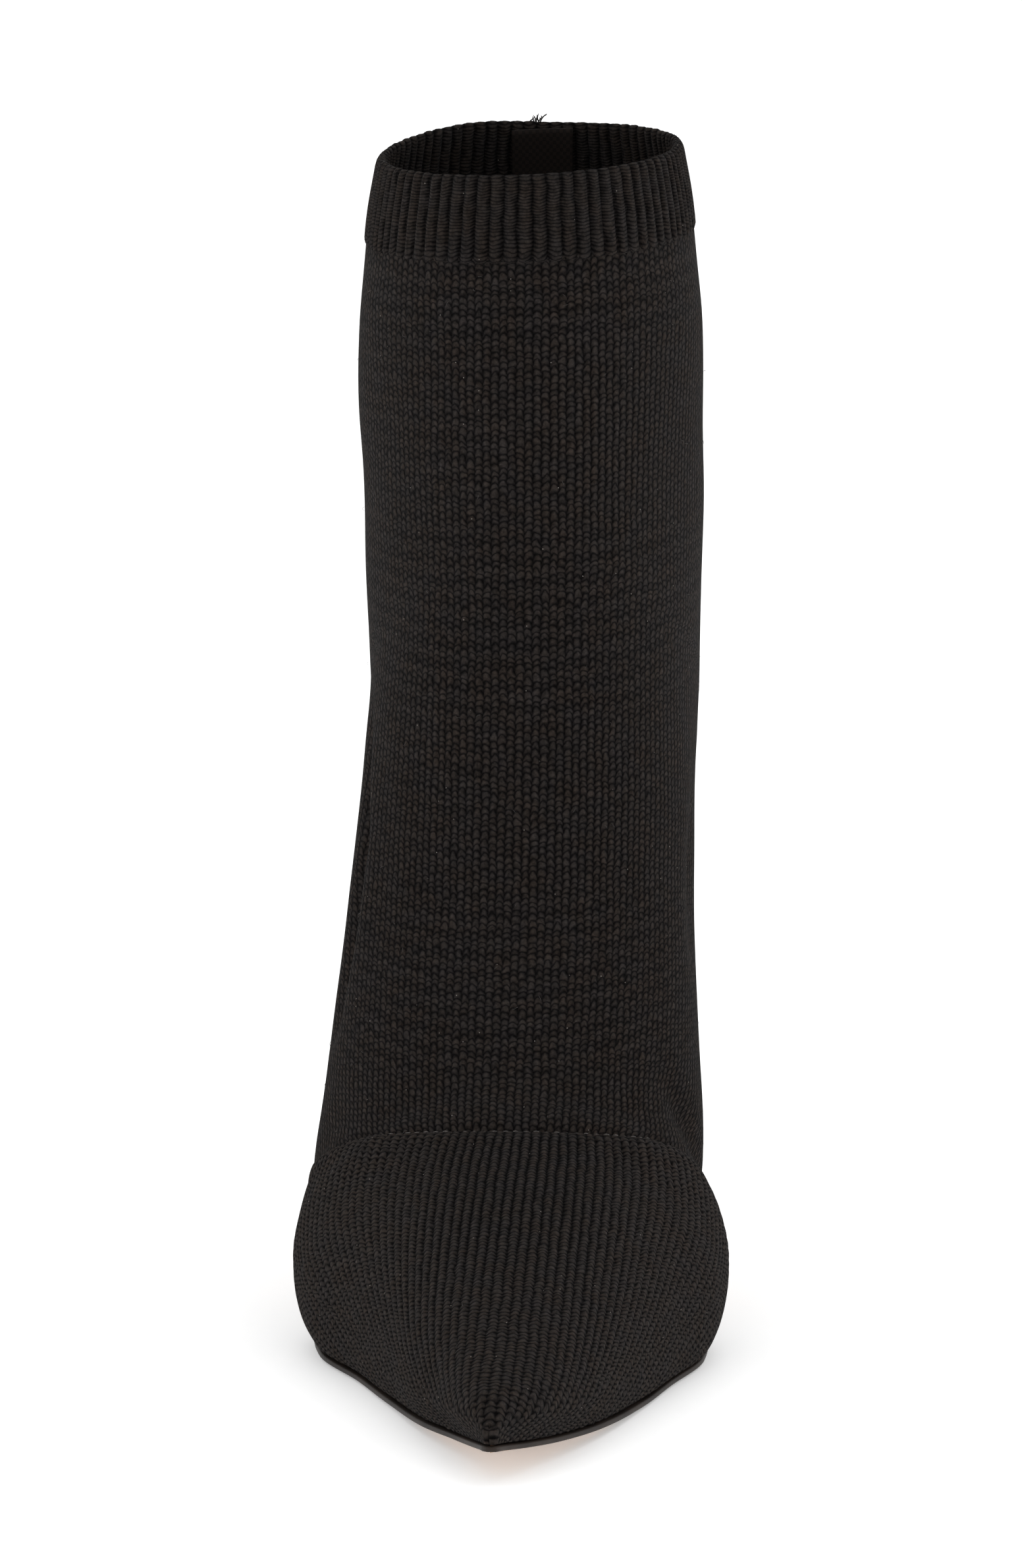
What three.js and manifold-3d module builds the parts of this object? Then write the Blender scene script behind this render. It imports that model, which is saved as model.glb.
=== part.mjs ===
import * as THREE from "three";
import { mergeVertices } from "three/addons/utils/BufferGeometryUtils.js";
import Module from "manifold-3d";

// Sweater boot for the left foot: a knitted sock upper with a ribbed cuff and a pointed toe, on a thin
// leather sole with a black rand and a slim covered heel.
// Millimetres, +Z up, floor at z = 0. The toe points along -Y and the outer side of the foot is +X.
// The origin is on the floor under the centre of the whole boot's box.

// Overall sizes
const shoeLength = 244; // toe tip to the back of the heel counter, level
const bootHeight = 234.5; // floor to the rim of the cuff
const heelRise = 85; // how much higher the back of the heel seat is than the tread
const toeSpring = 7; // how much higher the toe tip is than the tread
const ballWidth = 87; // across the knit at the ball of the foot
const vampHeight = 43.5; // sole to ridge at the ball of the foot
const shaftWidth = 70; // across the leg
const shaftDepth = 82; // shin to calf
const rimRoll = 2.6; // degrees by which the rim is higher on the outer side

// Walls and layers
const knitWall = 2;
const cuffHeight = 17;
const cuffStep = 0.5; // how far the ribbed cuff stands proud of the leg
const vampStep = 0.5; // how far the vamp stands proud of the leg at the cross seam
const insoleThickness = 2.2;
const randThickness = 1.2;
const randWidth = 5;
const randProud = 0.4; // how far the rand stands out past the edge of the upper
const outsoleThickness = 1.4;
const outsoleInset = 1.6; // how far the outsole's edge lies inside the rand's
const fillerGap = 1; // from the rand's inner edge to the part of the outsole that fills it
const fitGap = 0.3;

// Heel and its top lift
const heelCentre = 217; // toe tip to the centre of the top lift
const liftWidth = 20;
const liftLength = 19;
const liftThickness = 6;
const breastAlong = 191; // toe tip to the top of the heel's breast
const seatWidth = 53; // across the top of the heel
const seatMargin = 4; // from the back of the counter in to the back of the heel

// Tape over the seam inside the back of the leg
const tapeWidth = 14;
const tapeThickness = 0.8;
const tapeLength = 60;

// How finely the forms are faceted
const pointsRound = 40;
const ringsPerSection = 2;
const outlineSteps = 32;
const heelPoints = 28;
const insetKept = 0.97; // a point moved inwards is kept where it lies this share of the way from every edge
const halvings = 24; // how often a search for a place halves its range

const soleStack = outsoleThickness + randThickness + 2 * fitGap; // floor to the upper's lower edge
const legRise = bootHeight - soleStack - heelRise;
const cuffShare = cuffHeight / legRise;
const underDepth = 7; // how far the forms that the upper is cut from go on below the sole line

// A table with named columns and a row for each place.
function table(columns, rows) {
  return rows.map((row) => Object.fromEntries(columns.map((column, i) => [column, row[i]])));
}

// The line of the upper's lower edge, seen from the side. along: share of shoeLength from the toe tip.
// spring and lift: shares of toeSpring and heelRise. It is level under the ball of the foot.
const soleLine = table(["along", "spring", "lift"], [
  [0.0, 1.0, 0],
  [0.045, 0.7, 0],
  [0.09, 0.45, 0],
  [0.155, 0.2, 0],
  [0.22, 0.05, 0],
  [0.27, 0, 0],
  [0.4, 0, 0],
  [0.44, 0, 0.01],
  [0.5, 0, 0.08],
  [0.565, 0, 0.235],
  [0.643, 0, 0.47],
  [0.73, 0, 0.725],
  [0.82, 0, 0.92],
  [0.91, 0, 0.99],
  [1.0, 0, 1.0],
]);

// The boot's sections, from the toe tip round the heel to the rim.
// Each stands on the sole line or, where it has a rise, on the line of the boot's back.
// along: share of shoeLength. rise: share of legRise above the heel seat.
// leg: 0 takes its sizes from the foot's, 1 from the leg's. tilt: lean towards the toe, in degrees.
// depth: share of vampHeight or shaftDepth, across the section.
// inner, outer: half widths, as shares of ballWidth or shaftWidth.
// widest: share of the depth where the section is widest.
// crown, base: roundness of the front and of the back, where 2 is an ellipse and more is squarer.
// under: how much of the form goes on below the sole line. roll: how much of the rim's roll it takes.
const sectionColumns = [
  ...["along", "rise", "leg", "tilt", "depth", "inner"],
  ...["outer", "widest", "crown", "base", "under", "roll"],
];
const sections = table(sectionColumns, [
  [0.003, 0, 0, 0, 0.083, 0.007, 0.0115, 0.4, 2.2, 3.2, 1, 0],
  [0.016, 0, 0, 0, 0.168, 0.015, 0.026, 0.38, 2.2, 3.4, 1, 0],
  [0.045, 0, 0, 2, 0.262, 0.04, 0.074, 0.34, 2.2, 3.6, 1, 0],
  [0.09, 0, 0, 3, 0.384, 0.085, 0.143, 0.32, 2.15, 3.8, 1, 0],
  [0.156, 0, 0, 3.5, 0.563, 0.174, 0.232, 0.31, 2.1, 3.8, 1, 0],
  [0.23, 0, 0, 4, 0.733, 0.26, 0.313, 0.31, 2.05, 3.6, 1, 0],
  [0.307, 0, 0, 4.5, 0.887, 0.363, 0.394, 0.31, 1.95, 3.3, 1, 0],
  [0.381, 0, 0, 6, 0.993, 0.477, 0.471, 0.31, 1.92, 3.3, 1, 0],
  [0.443, 0, 0, 10, 1.14, 0.512, 0.487, 0.3, 1.92, 3.2, 1, 0],
  [0.5, 0, 0.1, 15.4, 1.151, 0.5, 0.44, 0.34, 2.0, 2.4, 1, 0],
  [0.566, 0, 0.25, 23.1, 1.055, 0.488, 0.444, 0.4, 2.1, 2.1, 1, 0],
  [0.643, 0, 0.45, 34.5, 0.928, 0.481, 0.443, 0.45, 2.1, 2.1, 1, 0],
  [0.73, 0, 0.65, 48.6, 0.905, 0.478, 0.454, 0.47, 2.1, 2.4, 1, 0],
  [0.82, 0, 0.82, 57.4, 1.012, 0.477, 0.466, 0.49, 2.1, 2.8, 1, 0],
  [0.91, 0, 0.94, 58.2, 1.232, 0.479, 0.476, 0.5, 2.1, 2.7, 1, 0],
  [0.978, 0, 1, 56.8, 1.44, 0.488, 0.486, 0.51, 2.1, 2.4, 0.5, 0.05],
  [0.998, 0.077, 1, 57.8, 1.489, 0.5, 0.49, 0.51, 2.1, 2.2, 0, 0.15],
  [0.992, 0.2, 1, 59.1, 1.449, 0.508, 0.495, 0.51, 2.1, 2.1, 0, 0.3],
  [0.96, 0.345, 1, 60.5, 1.32, 0.511, 0.499, 0.5, 2.1, 2.1, 0, 0.5],
  [0.933, 0.485, 1, 63.8, 1.19, 0.514, 0.499, 0.5, 2.1, 2.1, 0, 0.7],
  [0.923, 0.65, 1, 72.3, 1.085, 0.512, 0.494, 0.5, 2.1, 2.1, 0, 0.85],
  [0.919, 1 - cuffShare, 1, 90, 1.022, 0.492, 0.468, 0.5, 2.1, 2.1, 0, 0.97],
  [0.911, 1, 1, 90, 0.995, 0.454, 0.43, 0.5, 2.1, 2.1, 0, 1],
]);
const lastSection = sections.length - 1;
const cuffSection = lastSection - 1;
const firstHollowSection = 2; // in front of it the toe is too slim to be hollow

// The seam across the front of the foot, seen from the side: in front of it the knit is the vamp.
// along: share of shoeLength. up: share of vampHeight above the tread.
const vampSeam = table(["along", "up"], [
  [0.375, 2.2],
  [0.38, 1.08],
  [0.417, 0.955],
  [0.462, 0.74],
  [0.5, 0.42],
  [0.53, 0],
  [0.54, -1],
]);
const vampEnd = 11; // a section behind the whole of the seam

// The covered heel, from its foot up to the seat. up: share of its height.
// back, front: how far it reaches from the lift's outline to the seat's.
// width: share of the way from liftWidth to seatWidth. round: squareness of the section.
const heelRows = table(["up", "back", "front", "width", "round"], [
  [0.0, 0.0, 0.0, 0.0, 2.6],
  [0.14, 0.02, 0.0, 0.01, 2.5],
  [0.32, 0.1, 0.0, 0.06, 2.4],
  [0.5, 0.26, 0.03, 0.17, 2.3],
  [0.64, 0.46, 0.12, 0.36, 2.3],
  [0.76, 0.68, 0.36, 0.62, 2.3],
  [0.87, 0.88, 0.7, 0.86, 2.4],
  [1.0, 1.0, 1.0, 1.0, 2.5],
]);

// The slope of a table's column at a row, limited so that the curve through the rows never overshoots them.
function slopeAt(rows, place, column, i) {
  const rate = (a, b) => (rows[b][column] - rows[a][column]) / (place(b) - place(a));
  if (i === 0) return rate(0, 1);
  if (i === rows.length - 1) return rate(i - 1, i);
  const before = rate(i - 1, i);
  const after = rate(i, i + 1);
  return before * after <= 0 ? 0 : (2 * before * after) / (before + after);
}

// The value of a table's column between its rows, on that curve.
function between(rows, place, column, where) {
  let i = 0;
  while (i < rows.length - 2 && where > place(i + 1)) i += 1;
  const span = place(i + 1) - place(i);
  const s = (where - place(i)) / span;
  const start = rows[i][column] * (1 + 2 * s) + slopeAt(rows, place, column, i) * span * s;
  const end = rows[i + 1][column] * (3 - 2 * s) - slopeAt(rows, place, column, i + 1) * span * (1 - s);
  return start * (1 - s) ** 2 + end * s ** 2;
}

// The height of the sole line at a level distance from the toe tip.
function soleHeight(distance) {
  const share = THREE.MathUtils.clamp(distance / shoeLength, 0, 1);
  const place = (i) => soleLine[i].along;
  const spring = between(soleLine, place, "spring", share);
  const lift = between(soleLine, place, "lift", share);
  return soleStack + toeSpring * spring + heelRise * lift;
}

// One section of the boot: its standing point, the direction across it, and its sizes in millimetres.
function sectionAt(t) {
  const value = (column) => between(sections, (i) => i, column, t);
  const leg = value("leg");
  const width = THREE.MathUtils.lerp(ballWidth, shaftWidth, leg);
  const tilt = THREE.MathUtils.degToRad(value("tilt"));
  const distance = value("along") * shoeLength;
  return {
    stand: new THREE.Vector3(0, distance, soleHeight(distance) + value("rise") * legRise),
    ahead: new THREE.Vector3(0, -Math.sin(tilt), Math.cos(tilt)),
    depth: value("depth") * THREE.MathUtils.lerp(vampHeight, shaftDepth, leg),
    inner: value("inner") * width,
    outer: value("outer") * width,
    widest: value("widest"),
    crown: value("crown"),
    base: value("base"),
    under: value("under") * underDepth,
    roll: Math.tan(THREE.MathUtils.degToRad(rimRoll)) * value("roll"),
  };
}

// A power of a number that keeps its sign, which turns a circle into a rounder or squarer oval.
function oval(value, roundness) {
  return Math.sign(value) * Math.abs(value) ** (2 / roundness);
}

// A point of the boot's outside, with the toe tip at y = 0.
// angle: 0 at the outer side, a quarter turn at the front, three quarters at the back.
function outsidePoint(t, angle) {
  const row = sectionAt(t);
  const ahead = Math.sin(angle) >= 0;
  const roundness = ahead ? row.crown : row.base;
  const side = oval(Math.cos(angle), roundness);
  const middle = row.widest * row.depth;
  const x = side * (side >= 0 ? row.outer : row.inner);
  const reach = ahead ? row.depth - middle : middle + row.under;
  const height = middle + oval(Math.sin(angle), roundness) * reach;
  const point = row.stand.clone().addScaledVector(row.ahead, height);
  return point.add(new THREE.Vector3(x, 0, x * row.roll));
}

// A ring of points round the boot at a section, moved out of the surface by a distance.
function ring(t, out) {
  const step = 0.02;
  return Array.from({ length: pointsRound }, (_, j) => {
    const angle = (2 * Math.PI * j) / pointsRound;
    const onward = outsidePoint(Math.min(t + step, lastSection), angle).sub(
      outsidePoint(Math.max(t - step, 0), angle),
    );
    const round = outsidePoint(t, angle + step).sub(outsidePoint(t, angle - step));
    const normal = new THREE.Vector3().crossVectors(onward, round).normalize();
    return outsidePoint(t, angle).addScaledVector(normal, out);
  });
}

function rings(from, to, out) {
  const count = Math.ceil((to - from) * ringsPerSection);
  return Array.from({ length: count + 1 }, (_, i) => ring(from + (i * (to - from)) / count, out));
}

// A closed geometry through rings that all have the same number of points, with a flat fan at each end.
function loft(loops) {
  const n = loops[0].length;
  const positions = loops.flat();
  const index = [];
  for (let k = 0; k < loops.length - 1; k += 1) {
    for (let j = 0; j < n; j += 1) {
      const a = k * n + j;
      const b = k * n + ((j + 1) % n);
      index.push(a, b, a + n, b, b + n, a + n);
    }
  }
  const endFan = (loop, start, flipped) => {
    const centre = loop.reduce((sum, p) => sum.add(p), new THREE.Vector3()).divideScalar(n);
    const c = positions.push(centre) - 1;
    for (let j = 0; j < n; j += 1) {
      const next = (j + 1) % n;
      index.push(c, start + (flipped ? next : j), start + (flipped ? j : next));
    }
  };
  endFan(loops[0], 0, true);
  endFan(loops.at(-1), (loops.length - 1) * n, false);
  return new THREE.BufferGeometry().setFromPoints(positions).setIndex(index);
}

const wasm = await Module();
wasm.setup();

function turnedInsideOut(geometry) {
  const index = Array.from(geometry.index.array);
  for (let i = 0; i < index.length; i += 3) [index[i + 1], index[i + 2]] = [index[i + 2], index[i + 1]];
  return geometry.clone().setIndex(index);
}

function solidOf(geometry) {
  const bare = geometry.clone();
  bare.deleteAttribute("normal");
  bare.deleteAttribute("uv");
  const merged = mergeVertices(bare, 1e-4);
  const solid = new wasm.Manifold(
    new wasm.Mesh({
      numProp: 3,
      vertProperties: merged.attributes.position.array,
      triVerts: new Uint32Array(merged.index.array),
    }),
  );
  return solid.volume() > 0 ? solid : solidOf(turnedInsideOut(merged));
}

function geometryOf(solid) {
  const mesh = solid.getMesh();
  const geometry = new THREE.BufferGeometry();
  geometry.setAttribute("position", new THREE.BufferAttribute(new Float32Array(mesh.vertProperties), 3));
  geometry.setIndex(new THREE.BufferAttribute(new Uint32Array(mesh.triVerts), 1));
  return geometry;
}

// A shape drawn in the side view, with y level from the toe tip and z up, pushed through the boot's whole width.
function sidePrism(outline) {
  const width = 2 * ballWidth;
  const geometry = new THREE.ExtrudeGeometry(new THREE.Shape(outline), { depth: width, bevelEnabled: false });
  geometry.translate(0, 0, -width / 2);
  const axes = [new THREE.Vector3(0, 1, 0), new THREE.Vector3(0, 0, 1), new THREE.Vector3(1, 0, 0)];
  return solidOf(geometry.applyMatrix4(new THREE.Matrix4().makeBasis(...axes)));
}

// A band that follows the sole line from one height over it to another.
function soleBand(lower, upper) {
  const margin = shoeLength / 10;
  const stops = soleLine.slice(1).flatMap((row, i) => {
    const reach = row.along - soleLine[i].along;
    return [1, 2, 3].map((third) => (soleLine[i].along + (reach * third) / 3) * shoeLength);
  });
  const places = [-margin, 0, ...stops, shoeLength + margin];
  const edge = (offset) => places.map((d) => new THREE.Vector2(d, soleHeight(d) + offset));
  return sidePrism([...edge(lower), ...edge(upper).reverse()]);
}

// The whole form under the sole line, which leaves the upper open underneath.
function belowSoleLine() {
  return soleBand(-2 * bootHeight, 0);
}

// Where a section's side meets the sole line, from above. side: 1 for the outer side and -1 for the inner.
function featherPoint(t, side) {
  const pointAt = (share) => {
    const turn = share * (Math.PI / 2);
    return outsidePoint(t, side > 0 ? -turn : Math.PI + turn);
  };
  let [above, below] = [0, 1];
  for (let i = 0; i < halvings; i += 1) {
    const middle = (above + below) / 2;
    const p = pointAt(middle);
    if (p.z > soleHeight(p.y)) above = middle;
    else below = middle;
  }
  const p = pointAt(above);
  return new THREE.Vector2(p.x, p.y);
}

// The place in the table at which the back of the form leaves the sole line.
function lastFeatherPlace() {
  const firstRaised = sections.findIndex((row) => row.rise > 0);
  let [below, above] = [firstRaised - 1, firstRaised];
  for (let i = 0; i < halvings; i += 1) {
    const middle = (below + above) / 2;
    const p = outsidePoint(middle, -Math.PI / 2);
    if (p.z < soleHeight(p.y)) below = middle;
    else above = middle;
  }
  return below;
}

// The outline of the upper's lower edge from above, moved outwards by a distance, or inwards by a negative one.
function featherOutline(out) {
  const end = lastFeatherPlace();
  const places = Array.from({ length: outlineSteps + 1 }, (_, i) => {
    const share = i / outlineSteps;
    return end * (share < 0.5 ? share : 1 - 2 * (1 - share) ** 2);
  });
  const outerSide = places.map((t) => featherPoint(t, 1));
  const innerSide = places.slice(0, -1).map((t) => featherPoint(t, -1));
  const loop = [...outerSide, ...innerSide.reverse()];
  const moved = loop.map((p, i) => {
    const before = loop[(i + loop.length - 1) % loop.length];
    const after = loop[(i + 1) % loop.length];
    const run = after.clone().sub(before).normalize();
    return new THREE.Vector2(p.x + run.y * out, p.y - run.x * out);
  });
  return out < 0 ? moved.filter((p) => distanceToLoop(p, loop) > -out * insetKept) : moved;
}

function distanceToLoop(p, loop) {
  const gaps = loop.map((a, i) => {
    const b = loop[(i + 1) % loop.length];
    const edge = new THREE.Line3(new THREE.Vector3(a.x, a.y, 0), new THREE.Vector3(b.x, b.y, 0));
    const point = new THREE.Vector3(p.x, p.y, 0);
    return edge.closestPointToPoint(point, true, new THREE.Vector3()).distanceTo(point);
  });
  return Math.min(...gaps);
}

function outlinePrism(out) {
  const outline = new THREE.Shape(featherOutline(out));
  return solidOf(new THREE.ExtrudeGeometry(outline, { depth: bootHeight, bevelEnabled: false }));
}

// The room inside the boot, or a form inside that room, at a distance in from the knit's outside.
// skipped: how many of its front rings are left out.
function innerForm(depthIn, pastRim, skipped = 0) {
  const loops = rings(firstHollowSection, lastSection, -depthIn).slice(skipped);
  loops.push(loops.at(-1).map((p) => p.clone().setZ(p.z + pastRim)));
  return solidOf(loft(loops));
}

function vampPrism() {
  const heightOf = (row) => soleStack + row.up * vampHeight;
  const seam = vampSeam.map((row) => new THREE.Vector2(row.along * shoeLength, heightOf(row)));
  const front = -shoeLength / 10;
  const corners = [new THREE.Vector2(front, seam.at(-1).y), new THREE.Vector2(front, seam[0].y)];
  return sidePrism([...corners, ...seam]);
}

function buildUpper() {
  const stepRun = 0.04; // the share of a section over which the cuff steps out
  const leg = rings(0, cuffSection, 0);
  const cuff = rings(cuffSection + stepRun, lastSection, cuffStep);
  const vamp = solidOf(loft(rings(0, vampEnd, vampStep))).intersect(vampPrism());
  const outside = solidOf(loft([...leg, ...cuff])).add(vamp);
  return outside.subtract(innerForm(knitWall, cuffHeight)).subtract(belowSoleLine());
}

function buildInsole() {
  return innerForm(knitWall + fitGap, fitGap, 1).intersect(soleBand(0, insoleThickness));
}

function buildRand() {
  const strip = outlinePrism(vampStep + randProud).subtract(outlinePrism(-randWidth));
  return strip.intersect(soleBand(-fitGap - randThickness, -fitGap));
}

// The outsole is wide under the rand and fills the room inside it.
function buildOutsole() {
  const underRand = -2 * fitGap - randThickness;
  const wide = outlinePrism(vampStep + randProud - outsoleInset).intersect(soleBand(-soleStack, underRand));
  const filler = outlinePrism(-randWidth - fillerGap).intersect(soleBand(-soleStack, -fitGap));
  return wide.add(filler);
}

function heelRing(row) {
  const foot = liftThickness + fitGap;
  const z = THREE.MathUtils.lerp(foot, soleStack + heelRise, row.up);
  const seatBack = shoeLength - heelCentre - seatMargin;
  const back = heelCentre + THREE.MathUtils.lerp(liftLength / 2, seatBack, row.back);
  const front = heelCentre - THREE.MathUtils.lerp(liftLength / 2, heelCentre - breastAlong, row.front);
  const half = THREE.MathUtils.lerp(liftWidth, seatWidth, row.width) / 2;
  return Array.from({ length: heelPoints }, (_, j) => {
    const angle = (2 * Math.PI * j) / heelPoints;
    const x = oval(Math.cos(angle), row.round) * half;
    const y = (back + front) / 2 + (oval(Math.sin(angle), row.round) * (back - front)) / 2;
    return new THREE.Vector3(x, y, z);
  });
}

function buildHeel() {
  return solidOf(loft(heelRows.map(heelRing))).subtract(soleBand(-soleStack - fitGap, 2 * bootHeight));
}

function buildTopLift() {
  const outline = new THREE.Shape(heelRing(heelRows[0]).map((p) => new THREE.Vector2(p.x, p.y)));
  return solidOf(new THREE.ExtrudeGeometry(outline, { depth: liftThickness, bevelEnabled: false }));
}

// The tape follows the inside of the back of the leg, down from just under the rim.
function buildTape() {
  const outerFace = innerForm(knitWall + fitGap, fitGap);
  const layer = outerFace.subtract(innerForm(knitWall + fitGap + tapeThickness, cuffHeight));
  const strip = new THREE.BoxGeometry(tapeWidth, shaftDepth, tapeLength);
  strip.translate(0, shoeLength, bootHeight - fitGap - tapeLength / 2);
  return layer.intersect(solidOf(strip));
}

const finishes = {
  knit: new THREE.MeshStandardMaterial({ color: 0x201d1c, roughness: 0.92, metalness: 0 }),
  tape: new THREE.MeshStandardMaterial({ color: 0x161313, roughness: 0.85, metalness: 0 }),
  sockLining: new THREE.MeshStandardMaterial({ color: 0x2a2624, roughness: 0.7, metalness: 0 }),
  rand: new THREE.MeshStandardMaterial({ color: 0x16120f, roughness: 0.35, metalness: 0 }),
  soleLeather: new THREE.MeshStandardMaterial({ color: 0xd9a877, roughness: 0.45, metalness: 0 }),
  heelCover: new THREE.MeshStandardMaterial({ color: 0x171514, roughness: 0.4, metalness: 0 }),
  liftRubber: new THREE.MeshStandardMaterial({ color: 0x121110, roughness: 0.6, metalness: 0 }),
};

const pieces = [
  { name: "upper", solid: buildUpper(), finish: finishes.knit },
  { name: "back_tape", solid: buildTape(), finish: finishes.tape },
  { name: "insole", solid: buildInsole(), finish: finishes.sockLining },
  { name: "rand", solid: buildRand(), finish: finishes.rand },
  { name: "outsole", solid: buildOutsole(), finish: finishes.soleLeather },
  { name: "heel", solid: buildHeel(), finish: finishes.heelCover },
  { name: "top_lift", solid: buildTopLift(), finish: finishes.liftRubber },
];

// The whole boot is moved level so that the origin is under the middle of its box.
const boot = new THREE.Group();
for (const { name, solid, finish } of pieces) {
  const mesh = new THREE.Mesh(geometryOf(solid), finish);
  mesh.name = name;
  boot.add(mesh);
}
const middle = new THREE.Box3().setFromObject(boot).getCenter(new THREE.Vector3());
boot.position.set(-middle.x, -middle.y, 0);

export default boot;
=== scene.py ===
"""Sweater boot for the left foot: the finish of a knitted sock upper on a pointed last.

The knit is made of three closed pieces, the leg, the vamp and the ribbed cuff, over the same last as the
solid upper. Each wale of the vamp and each rib of the cuff is a real ridge, and the stitches on them are
bump. The sizes below are in millimetres, in the boot's own frame: x to the outer side, y back from the
toe tip and z up from the floor.
"""

import math

import bmesh
import bpy
import numpy as np
from bpy.props import FloatProperty, FloatVectorProperty, PointerProperty, StringProperty
from bpy.types import Operator, Panel, PropertyGroup
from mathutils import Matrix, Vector


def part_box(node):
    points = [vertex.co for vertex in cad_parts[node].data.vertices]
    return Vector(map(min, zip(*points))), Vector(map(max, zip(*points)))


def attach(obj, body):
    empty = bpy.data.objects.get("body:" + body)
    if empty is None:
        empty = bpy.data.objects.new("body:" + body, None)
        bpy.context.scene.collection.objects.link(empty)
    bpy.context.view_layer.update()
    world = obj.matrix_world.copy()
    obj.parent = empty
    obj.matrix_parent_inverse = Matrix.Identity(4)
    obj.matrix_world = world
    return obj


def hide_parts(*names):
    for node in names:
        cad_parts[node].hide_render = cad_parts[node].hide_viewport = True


bl_info = {
    "name": "Sweater boot",
    "version": (1, 0, 0),
    "blender": (4, 5, 0),
    "location": "3D View > Sidebar > Boot",
    "description": "Builds the knit, sole, heel and setting of a sweater boot round its solid frame",
    "category": "Add Mesh",
}

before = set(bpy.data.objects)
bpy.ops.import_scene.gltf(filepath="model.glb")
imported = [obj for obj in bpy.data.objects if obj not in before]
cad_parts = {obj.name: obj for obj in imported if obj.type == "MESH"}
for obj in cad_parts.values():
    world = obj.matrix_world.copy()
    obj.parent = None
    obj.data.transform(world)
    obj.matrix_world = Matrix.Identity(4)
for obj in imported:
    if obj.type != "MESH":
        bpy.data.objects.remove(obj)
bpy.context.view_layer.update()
MM = 0.001

# Sizes of the last, as in the solid model
SHOE_LENGTH = 244.0
BOOT_HEIGHT = 234.5
HEEL_RISE = 85.0
TOE_SPRING = 7.0
BALL_WIDTH = 87.0
VAMP_HEIGHT = 43.5
SHAFT_WIDTH = 70.0
SHAFT_DEPTH = 82.0
RIM_ROLL = 2.6
KNIT_WALL = 2.0
CUFF_HEIGHT = 17.0
VAMP_STEP = 0.5
RAND_PROUD = 0.4
RAND_THICKNESS = 1.2
OUTSOLE_THICKNESS = 1.4
INSOLE_THICKNESS = 2.2
FIT_GAP = 0.3
UNDER_DEPTH = 7.0
SOLE_STACK = OUTSOLE_THICKNESS + RAND_THICKNESS + 2 * FIT_GAP
LEG_RISE = BOOT_HEIGHT - SOLE_STACK - HEEL_RISE
HEEL_CENTRE = 217.0  # from the toe tip
LIFT_WIDTH = 20.0
LIFT_LENGTH = 19.0
LIFT_THICKNESS = 6.0
BREAST_ALONG = 191.0
SEAT_WIDTH = 53.0
SEAT_MARGIN = 4.0
HEEL_ROUNDING = 0.5
LIFT_ROUNDING = 0.6
TAPE_WIDTH = 14.0
TAPE_LENGTH = 60.0
TAPE_THICKNESS = 0.8
TAPE_THREAD = 0.8  # pitch of its threads
TAPE_BELOW_RIM = 1.6
TAPE_ROWS = 60
TAPE_COLUMNS = 25

# The boot's own frame, placed by the heel's top lift
LIFT_LOW, LIFT_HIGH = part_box("top_lift")
AXIS_X = (LIFT_LOW.x + LIFT_HIGH.x) / 2 / MM
TIP_Y = (LIFT_LOW.y + LIFT_HIGH.y) / 2 / MM - HEEL_CENTRE

# The knit
LEG_WALES = 140  # wales round the leg
LEG_WALE = 1.7  # pitch of the wales at the front of the leg
COURSE = 1.42  # height of a course of stitches
VAMP_WALE = 2.0  # pitch of the vamp's wales
VAMP_COURSE = 1.2
RIBS = 79  # ribs round the cuff
RIB_COURSE = 0.7
SHALLOW_GROOVE = 0.375  # where the second, shallow groove runs on a rib, as a share of its width
STEPS_A_LEG_WALE = 4
STEPS_A_VAMP_WALE = 6
STEPS_A_RIB = 8
LEG_ROWS = 71
VAMP_ROWS = 96
LEG_RELIEF = 0.14  # how far the leg's wales stand out between the bands of courses
LEAST_RELIEF = 0.04  # and how far they do at least, all over its front
FRONT_WALES = 10  # wales on either side of the middle that stand out in full
BACK_SEAM_DEPTH = 0.35
BACK_SEAM_REACH = 1.2
TUCK = 0.5  # how far the vamp turns in at the sole
RIB_UNEVENNESS = 0.06  # of the ribs' tops along the rim
RIM_SCALLOP = 0.18  # how far the rim dips between two ribs
RIM_STEPS = 1441  # points on the rim that the ribs are spaced out on
EDGE_DROP = 1.2  # how far the knit is pulled down over the sole's edge
EDGE_REACH = 9.0  # over which height it stretches
SEAM_EDGE = np.array([0.0, 0.25, 0.55, 0.9, 1.35, 1.9, 2.6])  # rows next to the cross seam
SEAM_DIP = 1.0  # how far both edges turn in at the seam
SEAM_REACH = 1.25  # over which length they turn in
SOLE_EDGE = np.array([0.0, 0.4, 0.9, 1.6])  # rows next to the sole
CAP_ROWS = 4  # rows that close the toe tip
TIP_BULGE = 0.7  # how far they bulge forward
FAN = 0.1  # share by which the vamp's wales draw together at the seam
FAN_REACH = 0.75  # in sections
NOSE_OUTER = 1.1  # how much wider the knit is than the last over its narrow tip, as a share
NOSE_INNER = 2.2
NOSE_RISE = 6.0  # over which height it widens
NOSE_REACH = 14.0  # how far back from the tip it does
RIM_LIFT = 1.3  # how far the empty cuff stands up at the back, inner side
RIM_LIFT_PLACE = -15.0
RIM_LIFT_REACH = 13.0
LEAN = 3.0  # how far to the outer side the vamp's middle wale meets the seam
LEAN_OVER = 7.5  # in sections, from the tip
STITCHED = 30.0  # how far to either side the cross seam's stitches show
SEAM_STITCH = 2.05  # pitch of its stitches
STITCH_LENGTH = 1.15
THREAD_RADIUS = 0.15
LOOSE_ENDS = 9
FIBRES = 150

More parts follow.
